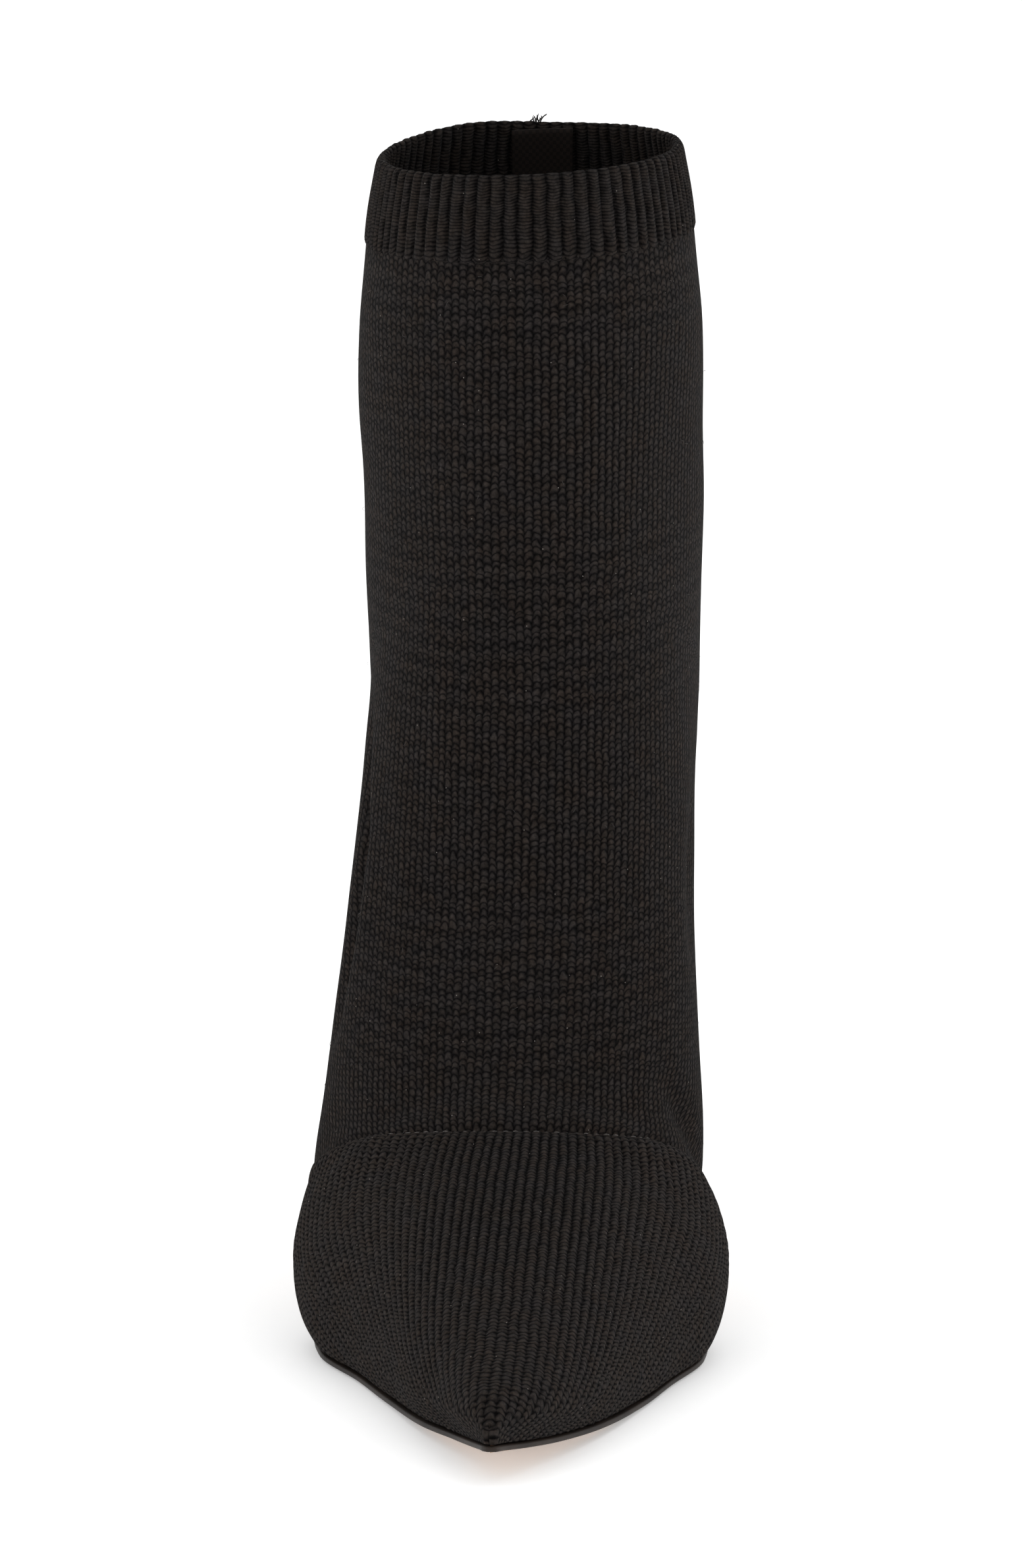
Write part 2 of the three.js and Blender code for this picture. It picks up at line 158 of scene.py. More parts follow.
# The sole's pieces and how finely they are made
RAND_ROUNDING = 0.7
RAND_POINTS = 421
RAND_SIDES = 14
SLAB_STATIONS = 150
SLAB_SIDES = 48
SEAT_START = 185.0  # where the sole starts to be drawn in under the seat
SEAT_FULL = 205.0
BACK_ROUNDING = 10.0
HEEL_SEGMENTS = 56
HEEL_RINGS = 44
FLOOR_RADIUS = 9.0  # in metres
ROUND_STEPS = 241  # points on a ring that lengths are measured on
LINE_STEPS = 420  # rings that lengths are measured on


def table(columns, rows):
    """Named columns as arrays, one value for each row."""
    return dict(zip(columns.split(), np.array(rows, float).T))


# The upper's lower edge from the toe tip to the back: its shares of the toe spring and of the heel's rise
SOLE_LINE = table("along spring lift", [
    (0.0, 1.0, 0),
    (0.045, 0.7, 0),
    (0.09, 0.45, 0),
    (0.155, 0.2, 0),
    (0.22, 0.05, 0),
    (0.27, 0, 0),
    (0.4, 0, 0),
    (0.44, 0, 0.01),
    (0.5, 0, 0.08),
    (0.565, 0, 0.235),
    (0.643, 0, 0.47),
    (0.73, 0, 0.725),
    (0.82, 0, 0.92),
    (0.91, 0, 0.99),
    (1.0, 0, 1.0),
])

# The last's sections from the toe tip round the heel to the rim, as shares of the sizes above
SECTIONS = table("along rise leg tilt depth inner outer widest crown base under roll", [
    (0.003, 0, 0, 0, 0.083, 0.007, 0.0115, 0.4, 2.2, 3.2, 1, 0),
    (0.016, 0, 0, 0, 0.168, 0.015, 0.026, 0.38, 2.2, 3.4, 1, 0),
    (0.045, 0, 0, 2, 0.262, 0.04, 0.074, 0.34, 2.2, 3.6, 1, 0),
    (0.09, 0, 0, 3, 0.384, 0.085, 0.143, 0.32, 2.15, 3.8, 1, 0),
    (0.156, 0, 0, 3.5, 0.563, 0.174, 0.232, 0.31, 2.1, 3.8, 1, 0),
    (0.23, 0, 0, 4, 0.733, 0.26, 0.313, 0.31, 2.05, 3.6, 1, 0),
    (0.307, 0, 0, 4.5, 0.887, 0.363, 0.394, 0.31, 1.95, 3.3, 1, 0),
    (0.381, 0, 0, 6, 0.993, 0.477, 0.471, 0.31, 1.92, 3.3, 1, 0),
    (0.443, 0, 0, 10, 1.14, 0.512, 0.487, 0.3, 1.92, 3.2, 1, 0),
    (0.5, 0, 0.1, 15.4, 1.151, 0.5, 0.44, 0.34, 2.0, 2.4, 1, 0),
    (0.566, 0, 0.25, 23.1, 1.055, 0.488, 0.444, 0.4, 2.1, 2.1, 1, 0),
    (0.643, 0, 0.45, 34.5, 0.928, 0.481, 0.443, 0.45, 2.1, 2.1, 1, 0),
    (0.73, 0, 0.65, 48.6, 0.905, 0.478, 0.454, 0.47, 2.1, 2.4, 1, 0),
    (0.82, 0, 0.82, 57.4, 1.012, 0.477, 0.466, 0.49, 2.1, 2.8, 1, 0),
    (0.91, 0, 0.94, 58.2, 1.232, 0.479, 0.476, 0.5, 2.1, 2.7, 1, 0),
    (0.978, 0, 1, 56.8, 1.44, 0.488, 0.486, 0.51, 2.1, 2.4, 0.5, 0.05),
    (0.998, 0.077, 1, 57.8, 1.489, 0.5, 0.49, 0.51, 2.1, 2.2, 0, 0.15),
    (0.992, 0.2, 1, 59.1, 1.449, 0.508, 0.495, 0.51, 2.1, 2.1, 0, 0.3),
    (0.96, 0.345, 1, 60.5, 1.32, 0.511, 0.499, 0.5, 2.1, 2.1, 0, 0.5),
    (0.933, 0.485, 1, 63.8, 1.19, 0.514, 0.499, 0.5, 2.1, 2.1, 0, 0.7),
    (0.923, 0.65, 1, 72.3, 1.085, 0.512, 0.494, 0.5, 2.1, 2.1, 0, 0.85),
    (0.919, 1 - CUFF_HEIGHT / LEG_RISE, 1, 90, 1.022, 0.492, 0.468, 0.5, 2.1, 2.1, 0, 0.97),
    (0.911, 1, 1, 90, 0.995, 0.454, 0.43, 0.5, 2.1, 2.1, 0, 1),
])
LAST_SECTION = len(SECTIONS["along"]) - 1
CUFF_SECTION = LAST_SECTION - 1
FIRST_LEG_SECTION = 6.5  # in front of the whole of the cross seam
VAMP_END = 11.0  # behind the whole of it
HEEL_BACK_SECTION = 16.5  # where the lower edge has come round the back
FRONT = 0.5 * math.pi
BACK = 1.5 * math.pi

# The cross seam, seen from the side
VAMP_SEAM = table("along up", [
    (0.371, 2.2),
    (0.373, 1.045),
    (0.394, 1.0),
    (0.417, 0.955),
    (0.462, 0.74),
    (0.5, 0.42),
    (0.53, 0),
    (0.54, -1),
])

# The covered heel from its foot up, as in the solid model
HEEL_ROWS = table("up back front width round", [
    (0.0, 0.0, 0.0, 0.0, 2.6),
    (0.14, 0.02, 0.0, 0.01, 2.5),
    (0.32, 0.1, 0.0, 0.06, 2.4),
    (0.5, 0.26, 0.03, 0.17, 2.3),
    (0.64, 0.46, 0.12, 0.36, 2.3),
    (0.76, 0.68, 0.36, 0.62, 2.3),
    (0.87, 0.88, 0.7, 0.86, 2.4),
    (1.0, 1.0, 1.0, 1.0, 2.5),
])

# Bands of the leg's knit by height: how far the courses stand out over the wales, on the outer side and
# on the inner side
KNIT_BANDS = table("height rows inner_rows", [
    (40, 0.0, 0.0),
    (54, 0.0, 0.0),
    (57, 0.85, 0.95),
    (86, 0.85, 0.95),
    (90, 0.25, 0.6),
    (121, 0.25, 0.6),
    (125, 0.85, 0.95),
    (159, 0.85, 0.95),
    (162, 0.05, 0.75),
    (200, 0.05, 0.75),
    (202, 0.9, 1.0),
    (218, 0.9, 1.0),
])

# The cuff's profile round the rim, from its lower edge over the rim and down inside, and how far the ribs
# stand out on it
CUFF_PROFILE = table("up out rib", [
    (-0.6, 0.08, 0.0),
    (-0.35, 0.3, 0.4),
    (0.1, 0.5, 0.8),
    (1.0, 0.5, 1.0),
    (3.0, 0.5, 1.0),
    (5.0, 0.5, 1.0),
    (7.0, 0.5, 1.0),
    (9.0, 0.5, 1.0),
    (11.0, 0.5, 1.0),
    (13.0, 0.5, 1.0),
    (14.8, 0.5, 1.0),
    (15.8, 0.4, 0.9),
    (16.5, 0.1, 0.7),
    (16.9, -0.35, 0.4),
    (17.0, -0.8, 0.2),
    (16.9, -1.25, 0.3),
    (16.5, -1.65, 0.6),
    (15.8, -1.9, 0.9),
    (14.5, -2.0, 1.0),
    (12.0, -2.0, 1.0),
    (9.0, -2.0, 1.0),
    (6.0, -2.0, 1.0),
    (3.0, -2.0, 1.0),
    (0.6, -2.0, 0.8),
    (0.15, -1.6, 0.2),
    (0.1, -0.8, 0.0),
    (0.1, -0.05, 0.0),
    (-0.6, 0.08, 0.0),
])

# Soft creases, placed one by one. Each runs through its points and is depth deep and width wide at its
# middle; below 0 it is a soft ridge.
CREASES = [
    {"points": [(-35, 169, 120), (-34, 156, 106), (-33, 146, 92), (-35, 138, 76), (-38, 130, 60)],
     "depth": 3.2, "width": 2.8},
    {"points": [(-32, 157, 113), (-31, 147, 99), (-31, 137, 83), (-33, 131, 68)],
     "depth": -0.7, "width": 3.5},
    {"points": [(35, 166, 104), (35, 153, 90), (36, 140, 72)],
     "depth": 1.3, "width": 3.6},
    {"points": [(31, 114, 52), (36, 115, 44), (41, 119, 34), (43, 122, 26)],
     "depth": 3.0, "width": 3.4},
    {"points": [(34, 106, 42), (40, 108, 33), (42, 112, 24)],
     "depth": -0.6, "width": 4.0},
    {"points": [(-34, 110, 47), (-39, 113, 38), (-42, 117, 28)],
     "depth": 0.9, "width": 4.0},
    {"points": [(-14, 110, 62), (2, 107, 60), (18, 111, 62)],
     "depth": 0.4, "width": 5.0},
]


def between(places, values, where):
    """A column's values on a smooth curve through its rows that never overshoots them."""
    rate = np.diff(values) / np.diff(places)
    product = rate[:-1] * rate[1:]
    total = np.where(product > 0, rate[:-1] + rate[1:], 1.0)
    inside = np.where(product > 0, 2 * product / total, 0.0)
    slope = np.concatenate([rate[:1], inside, rate[-1:]])
    i = np.clip(np.searchsorted(places, where, side="right") - 1, 0, len(places) - 2)
    span = places[i + 1] - places[i]
    s = (where - places[i]) / span
    start = values[i] * (1 + 2 * s) + slope[i] * span * s
    end = values[i + 1] * (3 - 2 * s) - slope[i + 1] * span * (1 - s)
    return start * (1 - s) ** 2 + end * s**2


def sole_height(distance):
    """Height of the upper's lower edge at level distances back from the toe tip."""
    share = np.clip(distance / SHOE_LENGTH, 0, 1)
    spring = between(SOLE_LINE["along"], SOLE_LINE["spring"], share)
    lift = between(SOLE_LINE["along"], SOLE_LINE["lift"], share)
    return SOLE_STACK + TOE_SPRING * spring + HEEL_RISE * lift


def oval(value, roundness):
    """A sine or cosine for an outline of that roundness: 2 is an ellipse, and more is squarer."""
    return np.sign(value) * np.abs(value) ** (2 / roundness)


def smooth_step(value, low, high):
    """Rises softly from 0 at low to 1 at high."""
    share = np.clip((value - low) / (high - low), 0, 1)
    return share * share * (3 - 2 * share)


def fade_in(distance, over):
    """Grows evenly from 0 at an edge to 1 at a distance over from it."""
    return np.clip(distance / over, 0, 1)


def blunt_nose(p):
    """Widens the knit over the last's narrow tip, which it rounds off like a sock."""
    over = smooth_step(p[..., 2] - sole_height(p[..., 1]), 0, NOSE_RISE)
    widened = p.copy()
    share = np.where(p[..., 0] < 0, NOSE_INNER, NOSE_OUTER)
    widened[..., 0] *= 1 + share * over * np.exp(-np.maximum(p[..., 1], 0) / NOSE_REACH)
    return widened


def outside(t, angle):
    """Points of the last at sections t and angles round it: 0 at the outer side, a quarter turn in front."""
    t, angle = np.broadcast_arrays(np.asarray(t, float), np.asarray(angle, float))
    level, back = np.unique(t, return_inverse=True)
    back = back.reshape(t.shape)
    place = np.arange(LAST_SECTION + 1.0)
    row = {name: between(place, SECTIONS[name], level)[back] for name in SECTIONS}
    width = BALL_WIDTH + (SHAFT_WIDTH - BALL_WIDTH) * row["leg"]
    depth = (VAMP_HEIGHT + (SHAFT_DEPTH - VAMP_HEIGHT) * row["leg"]) * row["depth"]
    tilt = np.radians(row["tilt"])
    ahead = np.sin(angle) >= 0
    roundness = np.where(ahead, row["crown"], row["base"])
    side = oval(np.cos(angle), roundness)
    middle = row["widest"] * depth
    x = side * np.where(side >= 0, row["outer"], row["inner"]) * width
    reach = np.where(ahead, depth - middle, middle + row["under"] * UNDER_DEPTH)
    height = middle + oval(np.sin(angle), roundness) * reach
    distance = row["along"] * SHOE_LENGTH
    y = distance - np.sin(tilt) * height
    lean = math.tan(math.radians(RIM_ROLL)) * row["roll"]
    z = sole_height(distance) + row["rise"] * LEG_RISE + np.cos(tilt) * height + x * lean
    return blunt_nose(np.stack([x, y, z], axis=-1))


def unit(vectors):
    return vectors / np.maximum(np.linalg.norm(vectors, axis=-1, keepdims=True), 1e-9)


def outward(t, angle):
    """The last's outward direction at the same places."""
    step = 0.02
    onward = outside(np.minimum(t + step, LAST_SECTION), angle) - outside(np.maximum(t - step, 0), angle)
    around = outside(t, angle + step) - outside(t, angle - step)
    return unit(np.cross(onward, around))


def seam_distance(p):
    """How far points lie behind the cross seam, level, in millimetres."""
    height = SOLE_STACK + VAMP_SEAM["up"] * VAMP_HEIGHT
    return p[..., 1] - np.interp(p[..., 2], height[::-1], VAMP_SEAM["along"][::-1] * SHOE_LENGTH)


def lengths_along(p, axis):
    """Distance run along rows of points, from 0."""
    run = np.cumsum(np.linalg.norm(np.diff(p, axis=axis), axis=-1), axis=axis)
    start = np.zeros_like(np.take(run, [0], axis=axis))
    return np.concatenate([start, run], axis=axis)


class Girth:
    """Lengths round the last between two sections, from the ridge: below 0 on the inner side.

    whole holds, for either side, the length down to where the sole line is crossed, or to the back.
    """

    def __init__(self, first, last):
        self.t = np.linspace(first, last, LINE_STEPS)
        self.share = np.linspace(-1, 1, 2 * ROUND_STEPS - 1)
        p = outside(self.t[:, None], self.angle(self.share)[None, :])
        length = lengths_along(p, 1)
        self.length = length - length[:, ROUND_STEPS - 1 : ROUND_STEPS]
        over = p[..., 2] - sole_height(p[..., 1])
        self.whole = {}
        for side in (-1, 1):
            half = slice(ROUND_STEPS - 1, None) if side > 0 else slice(ROUND_STEPS - 1, None, -1)
            self.whole[side] = self.down_to_sole(np.abs(self.length[:, half]), over[:, half])

    @staticmethod
    def angle(share):
        return FRONT - math.pi * share

    @staticmethod
    def down_to_sole(length, over):
        whole = length[:, -1].copy()
        for i, row in enumerate(over):
            below = np.flatnonzero(row < 0)
            if len(below):
                k = below[0]
                part = row[k - 1] / (row[k - 1] - row[k])
                whole[i] = length[i, k - 1] + part * (length[i, k] - length[i, k - 1])
        return whole

    def within(self, arc):
        """Lengths kept between the two lower edges, a row for each section."""
        return np.clip(arc, -self.whole[-1][:, None], self.whole[1][:, None])

    def angles_at(self, arc):
        share = [np.interp(lengths, known, self.share) for lengths, known in zip(arc, self.length)]
        return self.angle(np.array(share))

    def edge(self, side):
        """The line where the knit meets the sole on one side."""
        return outside(self.t, self.angles_at(side * self.whole[side][:, None])[:, 0])


def crease_depth(p):
    """How far the listed creases pull the knit in at points, in millimetres."""
    depth = np.zeros(p.shape[:-1])
    for crease in CREASES:
        line = np.array(crease["points"], float)
        nearest = np.full(p.shape[:-1], 1e9)
        along = np.zeros(p.shape[:-1])
        for k, (a, b) in enumerate(zip(line[:-1], line[1:])):
            run = b - a
            s = np.clip(((p - a) @ run) / (run @ run), 0, 1)
            gap = np.linalg.norm(p - a - s[..., None] * run, axis=-1)
            closer = gap < nearest
            nearest = np.where(closer, gap, nearest)
            along = np.where(closer, (k + s) / (len(line) - 1), along)
        # soft, but not quite flat, at both ends
        fade = np.sin(math.pi * (0.06 + 0.88 * along)) ** 0.6
        depth += crease["depth"] * fade * np.exp(-((nearest / crease["width"]) ** 2))
    return depth


def softness(p):
    """Slow unevenness of an empty knit, in millimetres, as two uneven waves."""
    x, y, z = np.moveaxis(p, -1, 0)
    broad = np.sin(z / 13.0 + 0.7 * np.sin(x / 17.0)) * np.sin(x / 15.0 + y / 21.0 + 1.3)
    small = np.sin(z / 6.1 + x / 9.0 + 0.4) * np.sin(x / 7.3 - y / 8.7 + 2.1)
    return 0.28 * broad + 0.14 * small


def linear_from_hex(text):
    """A linear colour with alpha from an sRGB hex value such as #D9A877."""
    parts = [int(text[i : i + 2], 16) / 255 for i in (1, 3, 5)]
    return tuple(c / 12.92 if c <= 0.04045 else ((c + 0.055) / 1.055) ** 2.4 for c in parts) + (1.0,)


def set_inputs(tree, node, inputs):
    """Sets a node's inputs to values, or links them where a socket is given."""
    for key, value in inputs.items():
        if isinstance(value, bpy.types.NodeSocket):
            tree.links.new(value, node.inputs[key])
        else:
            node.inputs[key].default_value = value


def add(tree, kind, inputs=None, **settings):
    """Adds a shader node with its settings and inputs. A pattern's scale is in repeats to the metre."""
    made = tree.nodes.new("ShaderNode" + kind)
    for name, value in settings.items():
        setattr(made, name, value)
    set_inputs(tree, made, inputs or {})
    return made


def new_material(name):
    """An empty node material with its tree and Principled shader."""
    material = bpy.data.materials.new(name)
    material.use_nodes = True
    tree = material.node_tree
    return material, tree, tree.nodes["Principled BSDF"]


def ramp(tree, factor, stops):
    """A colour ramp over a factor, with stops of (place, sRGB hex)."""
    made = add(tree, "ValToRGB", {"Fac": factor})
    elements = made.color_ramp.elements
    while len(elements) < len(stops):
        elements.new(0.5)
    for element, (place, colour) in zip(elements, stops):
        element.position = place
        element.color = linear_from_hex(colour)
    return made.outputs["Color"]


# The height of a knitted surface, worked out step by step: name, operation and terms. wale and course
# count stitches across and along, rows is 1 where the courses stand out and 0 where the wales do, and
# bridging is how far the yarn fills the gap between two wales from one course to the next. stagger is how
# far every second wale is shifted along, in courses, with every third course a little higher.
KNIT_STEPS = [
    ("wale_number", "FLOOR", "wale"),
    ("odd", "FLOORED_MODULO", "wale_number", 2.0),
    ("shifted", "MULTIPLY_ADD", "odd", "stagger", "course"),
    ("third_turn", "MULTIPLY", "shifted", 2 * math.pi / 3),
    ("third_wave", "SINE", "third_turn"),
    ("third_share", "MULTIPLY", "stagger", 0.2),
    ("third_height", "MULTIPLY", "third_share", "rows"),
    ("half_turn", "MULTIPLY", "wale", math.pi),
    ("wale_wave", "SINE", "half_turn"),
    ("column", "ABSOLUTE", "wale_wave"),
    ("column_round", "POWER", "column", 0.75),
    ("edge", "SUBTRACT", 1.0, "column"),
    ("bow", "MULTIPLY_ADD", "column", 0.38, "shifted"),
    ("course_turn", "MULTIPLY", "bow", math.pi),
    ("course_wave", "SINE", "course_turn"),
    ("loop", "ABSOLUTE", "course_wave"),
    ("loop_round", "POWER", "loop", 0.6),
    ("loop_share", "MULTIPLY_ADD", "loop_round", 0.6, 0.4),
    ("wale_crest", "MULTIPLY", "column_round", "loop_share"),
    ("loop_middle", "POWER", "loop", 1.5),
    ("bridge", "MULTIPLY", "edge", "loop_middle"),
    ("wale_height", "MULTIPLY_ADD", "bridge", "bridging", "wale_crest"),
    ("column_share", "MULTIPLY_ADD", "column_round", 0.25, 0.5),
    ("row_crest", "MULTIPLY", "loop_round", "column_share"),
    ("row_height", "MULTIPLY_ADD", "column", 0.25, "row_crest"),
    ("difference", "SUBTRACT", "row_height", "wale_height"),
    ("even_height", "MULTIPLY_ADD", "difference", "rows", "wale_height"),
    ("height", "MULTIPLY_ADD", "third_wave", "third_height", "even_height"),
]


def knit_height(tree, rows, bridging, stagger):
    """The stitches' height, from the piece's own stitch map, a little uneven as real yarn is."""
    stitches = add(tree, "UVMap", uv_map="stitches").outputs["UV"]
    place = add(tree, "TexCoord").outputs["Object"]
    slip = add(tree, "TexNoise", {"Vector": place, "Scale": 0.33 / MM, "Detail": 2.0})
    shift = add(tree, "VectorMath", {0: slip.outputs["Color"], 1: (0.5, 0.5, 0.5)}, operation="SUBTRACT")
    moved = add(tree, "VectorMath", {0: shift.outputs[0], 1: (0.7, 1.8, 0.0), 2: stitches},
                operation="MULTIPLY_ADD")
    split = add(tree, "SeparateXYZ", {0: moved.outputs[0]})
    known = {"wale": split.outputs["X"], "course": split.outputs["Y"], "rows": rows, "bridging": bridging,
             "stagger": stagger}
    for name, operation, *terms in KNIT_STEPS:
        inputs = {i: known.get(term, term) for i, term in enumerate(terms)}
        known[name] = add(tree, "Math", inputs, operation=operation).outputs[0]
    return known["height"], place


LINT_RADIUS = 0.07  # as a share of the distance between two places for lint


def knit(name, depth, shade, rows=0.0, bridging=0.6, stagger=0.0, pits=0.18):
    """Black flat-knitted yarn, dull and faintly hairy.

    The stitches stand up from pits, and the colour darkens from their tops down into the gaps: painted shade
    of the yarn on itself. The yarn mottles from brown to a bluish grey over a few stitches, and a few pale
    specks of lint catch the light. It has hardly any gloss, and a soft sheen at grazing angles. rows and
    bridging are numbers, or the names of the piece's own attributes, and pits is the height up to which
    the painted shade in the gaps is darkest.
    """
    look = bpy.context.scene.boot_knit
    material, tree, shader = new_material(name)
    if isinstance(rows, str):
        rows = add(tree, "Attribute", attribute_name=rows).outputs["Fac"]
    if isinstance(bridging, str):
        bridging = add(tree, "Attribute", attribute_name=bridging).outputs["Fac"]
    height, place = knit_height(tree, rows, bridging, stagger)
    # Painted shade: the colour darkens with the stitches' height, from their tops down into the gaps, where
    # the yarn shades itself.
    colour = ramp(tree, height, [(pits, look.gap), (0.54, look.yarn), (0.92, look.crest)])
    mottle = add(tree, "TexNoise", {"Vector": place, "Scale": 0.9 / MM, "Detail": 3.0, "Roughness": 0.75})
    # shade scales each piece's yarn as a whole: partly the yarn's own tone, partly painted shade for how
    # much light falls on that piece.
    tone = add(tree, "MapRange", {"Value": mottle.outputs["Fac"], "From Min": 0.3, "From Max": 0.7,
                                  "To Min": 0.45 * shade, "To Max": 1.55 * shade})
    toned = add(tree, "VectorMath", {0: colour, "Scale": tone.outputs[0]}, operation="SCALE")
    patches = add(tree, "TexNoise", {"Vector": place, "Scale": 0.21 / MM, "Detail": 2.0})
    tint = ramp(tree, patches.outputs["Fac"], [(0.35, "#F7F9FD"), (0.5, "#FDFBF9"), (0.65, "#FFF6EE")])
    tinted = add(tree, "VectorMath", {0: toned.outputs[0], 1: tint}, operation="MULTIPLY")
    cells = add(tree, "TexVoronoi", {"Vector": place, "Scale": 0.62 / MM}, feature="F1")
    near = add(tree, "Math", {0: cells.outputs["Distance"], 1: LINT_RADIUS}, operation="LESS_THAN")
    chance = add(tree, "SeparateXYZ", {0: cells.outputs["Color"]})
    picked = add(tree, "Math", {0: chance.outputs["X"], 1: look.lint}, operation="GREATER_THAN")
    speck = add(tree, "Math", {0: near.outputs[0], 1: picked.outputs[0]}, operation="MULTIPLY")
    mixed = add(tree, "Mix", {"Factor": speck.outputs[0], "A": tinted.outputs[0],
                              "B": linear_from_hex("#746F6A")}, data_type="RGBA")
    fibre = add(tree, "TexNoise", {"Vector": place, "Scale": 2.2 / MM, "Detail": 2.0})
    yarn = add(tree, "Math", {0: fibre.outputs["Fac"], 1: 0.45, 2: height}, operation="MULTIPLY_ADD")
    bump = add(tree, "Bump", {"Height": yarn.outputs[0], "Strength": 1.0, "Distance": depth * MM})
    set_inputs(tree, shader, {"Base Color": mixed.outputs["Result"], "Normal": bump.outputs["Normal"],
                              "Roughness": 0.95, "Specular IOR Level": 0.03, "Sheen Weight": look.sheen,
                              "Sheen Roughness": 0.6})
    return material


def leather(name, base, dark, roughness, coat, grain, depth):
    """Finished leather: fine pores and grain under a thin polished film, a little darker in the pores."""
    material, tree, shader = new_material(name)
    place = add(tree, "TexCoord").outputs["Object"]
    cells = add(tree, "TexVoronoi", {"Vector": place, "Scale": 1 / (grain * MM)}, feature="F1")
    cloud = add(tree, "TexNoise", {"Vector": place, "Scale": 0.06 / MM, "Detail": 4.0,
                                      "Roughness": 0.6})
    blend = add(tree, "Math", {0: cells.outputs["Distance"], 1: 0.35, 2: cloud.outputs["Fac"]},
                operation="MULTIPLY_ADD")
    colour = ramp(tree, blend.outputs[0], [(0.3, dark), (0.75, base)])
    rough = add(tree, "MapRange", {"Value": cloud.outputs["Fac"], "To Min": roughness - 0.06,
                                   "To Max": roughness + 0.08})
    bump = add(tree, "Bump", {"Height": cells.outputs["Distance"], "Strength": 0.6, "Distance": depth * MM})
    set_inputs(tree, shader, {"Base Color": colour, "Normal": bump.outputs["Normal"],
                              "Roughness": rough.outputs[0], "Specular IOR Level": 0.3, "Coat Weight": coat,
                              "Coat Roughness": 0.2})
    return material


def edge_dye():
    """Black edge dye on the rand: brushed on and rubbed smooth, a little wavy, with a dull shine."""
    material, tree, shader = new_material("burnished_edge_dye")
    place = add(tree, "TexCoord").outputs["Object"]
    waves = add(tree, "TexNoise", {"Vector": place, "Scale": 0.13 / MM, "Detail": 2.0})
    colour = ramp(tree, waves.outputs["Fac"], [(0.3, "#17120F"), (0.7, "#2A221D")])
    bump = add(tree, "Bump", {"Height": waves.outputs["Fac"], "Strength": 0.5, "Distance": 0.25 * MM})
    set_inputs(tree, shader, {"Base Color": colour, "Normal": bump.outputs["Normal"], "Roughness": 0.5,
                              "Specular IOR Level": 0.18})
    return material


def woven_tape():
    """Plain woven cotton tape, dyed black: over and under threads a little apart, flat and dull."""
    material, tree, shader = new_material("woven_cotton_tape")
    stitches = add(tree, "UVMap", uv_map="stitches").outputs["UV"]
    threads = add(tree, "TexChecker", {"Vector": stitches, "Scale": 1.0, "Color1": (1, 1, 1, 1),
                                       "Color2": (0, 0, 0, 1)})
    colour = ramp(tree, threads.outputs["Fac"], [(0.2, "#110D0B"), (0.8, "#1A1411")])
    bump = add(tree, "Bump", {"Height": threads.outputs["Fac"], "Strength": 0.5, "Distance": 0.15 * MM})
    set_inputs(tree, shader, {"Base Color": colour, "Normal": bump.outputs["Normal"], "Roughness": 0.9,
                              "Specular IOR Level": 0.15})
    return material


def lift_rubber():
    """Hard moulded rubber of the top lift: near black, matte, with fine pits."""
    material, tree, shader = new_material("moulded_rubber")
    place = add(tree, "TexCoord").outputs["Object"]
    pits = add(tree, "TexNoise", {"Vector": place, "Scale": 0.9 / MM, "Detail": 3.0})
    colour = ramp(tree, pits.outputs["Fac"], [(0.3, "#0D0C0C"), (0.7, "#191817")])
    bump = add(tree, "Bump", {"Height": pits.outputs["Fac"], "Strength": 0.4, "Distance": 0.1 * MM})
    set_inputs(tree, shader, {"Base Color": colour, "Normal": bump.outputs["Normal"], "Roughness": 0.6})
    return material


def white_paper():
    """Smooth white background paper, evenly lit, with a trace of tooth."""
    material, tree, shader = new_material("smooth_white_paper")
    place = add(tree, "TexCoord").outputs["Object"]
    tooth = add(tree, "TexNoise", {"Vector": place, "Scale": 0.4 / MM, "Detail": 2.0})
    colour = ramp(tree, tooth.outputs["Fac"], [(0.3, "#F8F8F8"), (0.7, "#FBFBFB")])
    set_inputs(tree, shader, {"Base Color": colour, "Roughness": 0.9, "Specular IOR Level": 0.1,
                              "Emission Color": (1.0, 1.0, 1.0, 1.0), "Emission Strength": 0.26})
    return material


def sewing_thread(name, dark, light):
    """Twisted polyester sewing thread or yarn ends, dark grey, with a slight shine on the twist."""
    material, tree, shader = new_material(name)
    place = add(tree, "TexCoord").outputs["Object"]
    twist = add(tree, "TexNoise", {"Vector": place, "Scale": 1.8 / MM, "Detail": 1.0})
    colour = ramp(tree, twist.outputs["Fac"], [(0.3, dark), (0.7, light)])
    set_inputs(tree, shader, {"Base Color": colour, "Roughness": 0.55})
    return material


def add_patch(bm, points, stitches=None, layer=None):
    """Adds a grid to a mesh, one vertex for each of points[row, column], which are in millimetres."""
    rows, columns = points.shape[:2]
    made = bmesh.ops.create_grid(bm, x_segments=columns - 1, y_segments=rows - 1, size=1.0)["verts"]
    if len(made) != rows * columns:
        raise RuntimeError(f"a grid of {rows} by {columns} has {len(made)} vertices")
    world = (points + np.array([AXIS_X, TIP_Y, 0.0])) * MM
    place = {}
    for vert in made:
        column = round((vert.co.x + 1) / 2 * (columns - 1))
        row = round((vert.co.y + 1) / 2 * (rows - 1))
        place[vert] = (row, column)
    faces = {face for vert in made for face in vert.link_faces}
    for vert, (row, column) in place.items():
        vert.co = world[row, column]
    if layer is not None:
        for face in faces:
            for loop in face.loops:
                loop[layer].uv = stitches[place[loop.vert]]
    return place


def weld(bm, gap=1e-7):
    bmesh.ops.remove_doubles(bm, verts=bm.verts, dist=gap)
    bmesh.ops.dissolve_degenerate(bm, dist=gap, edges=bm.edges)


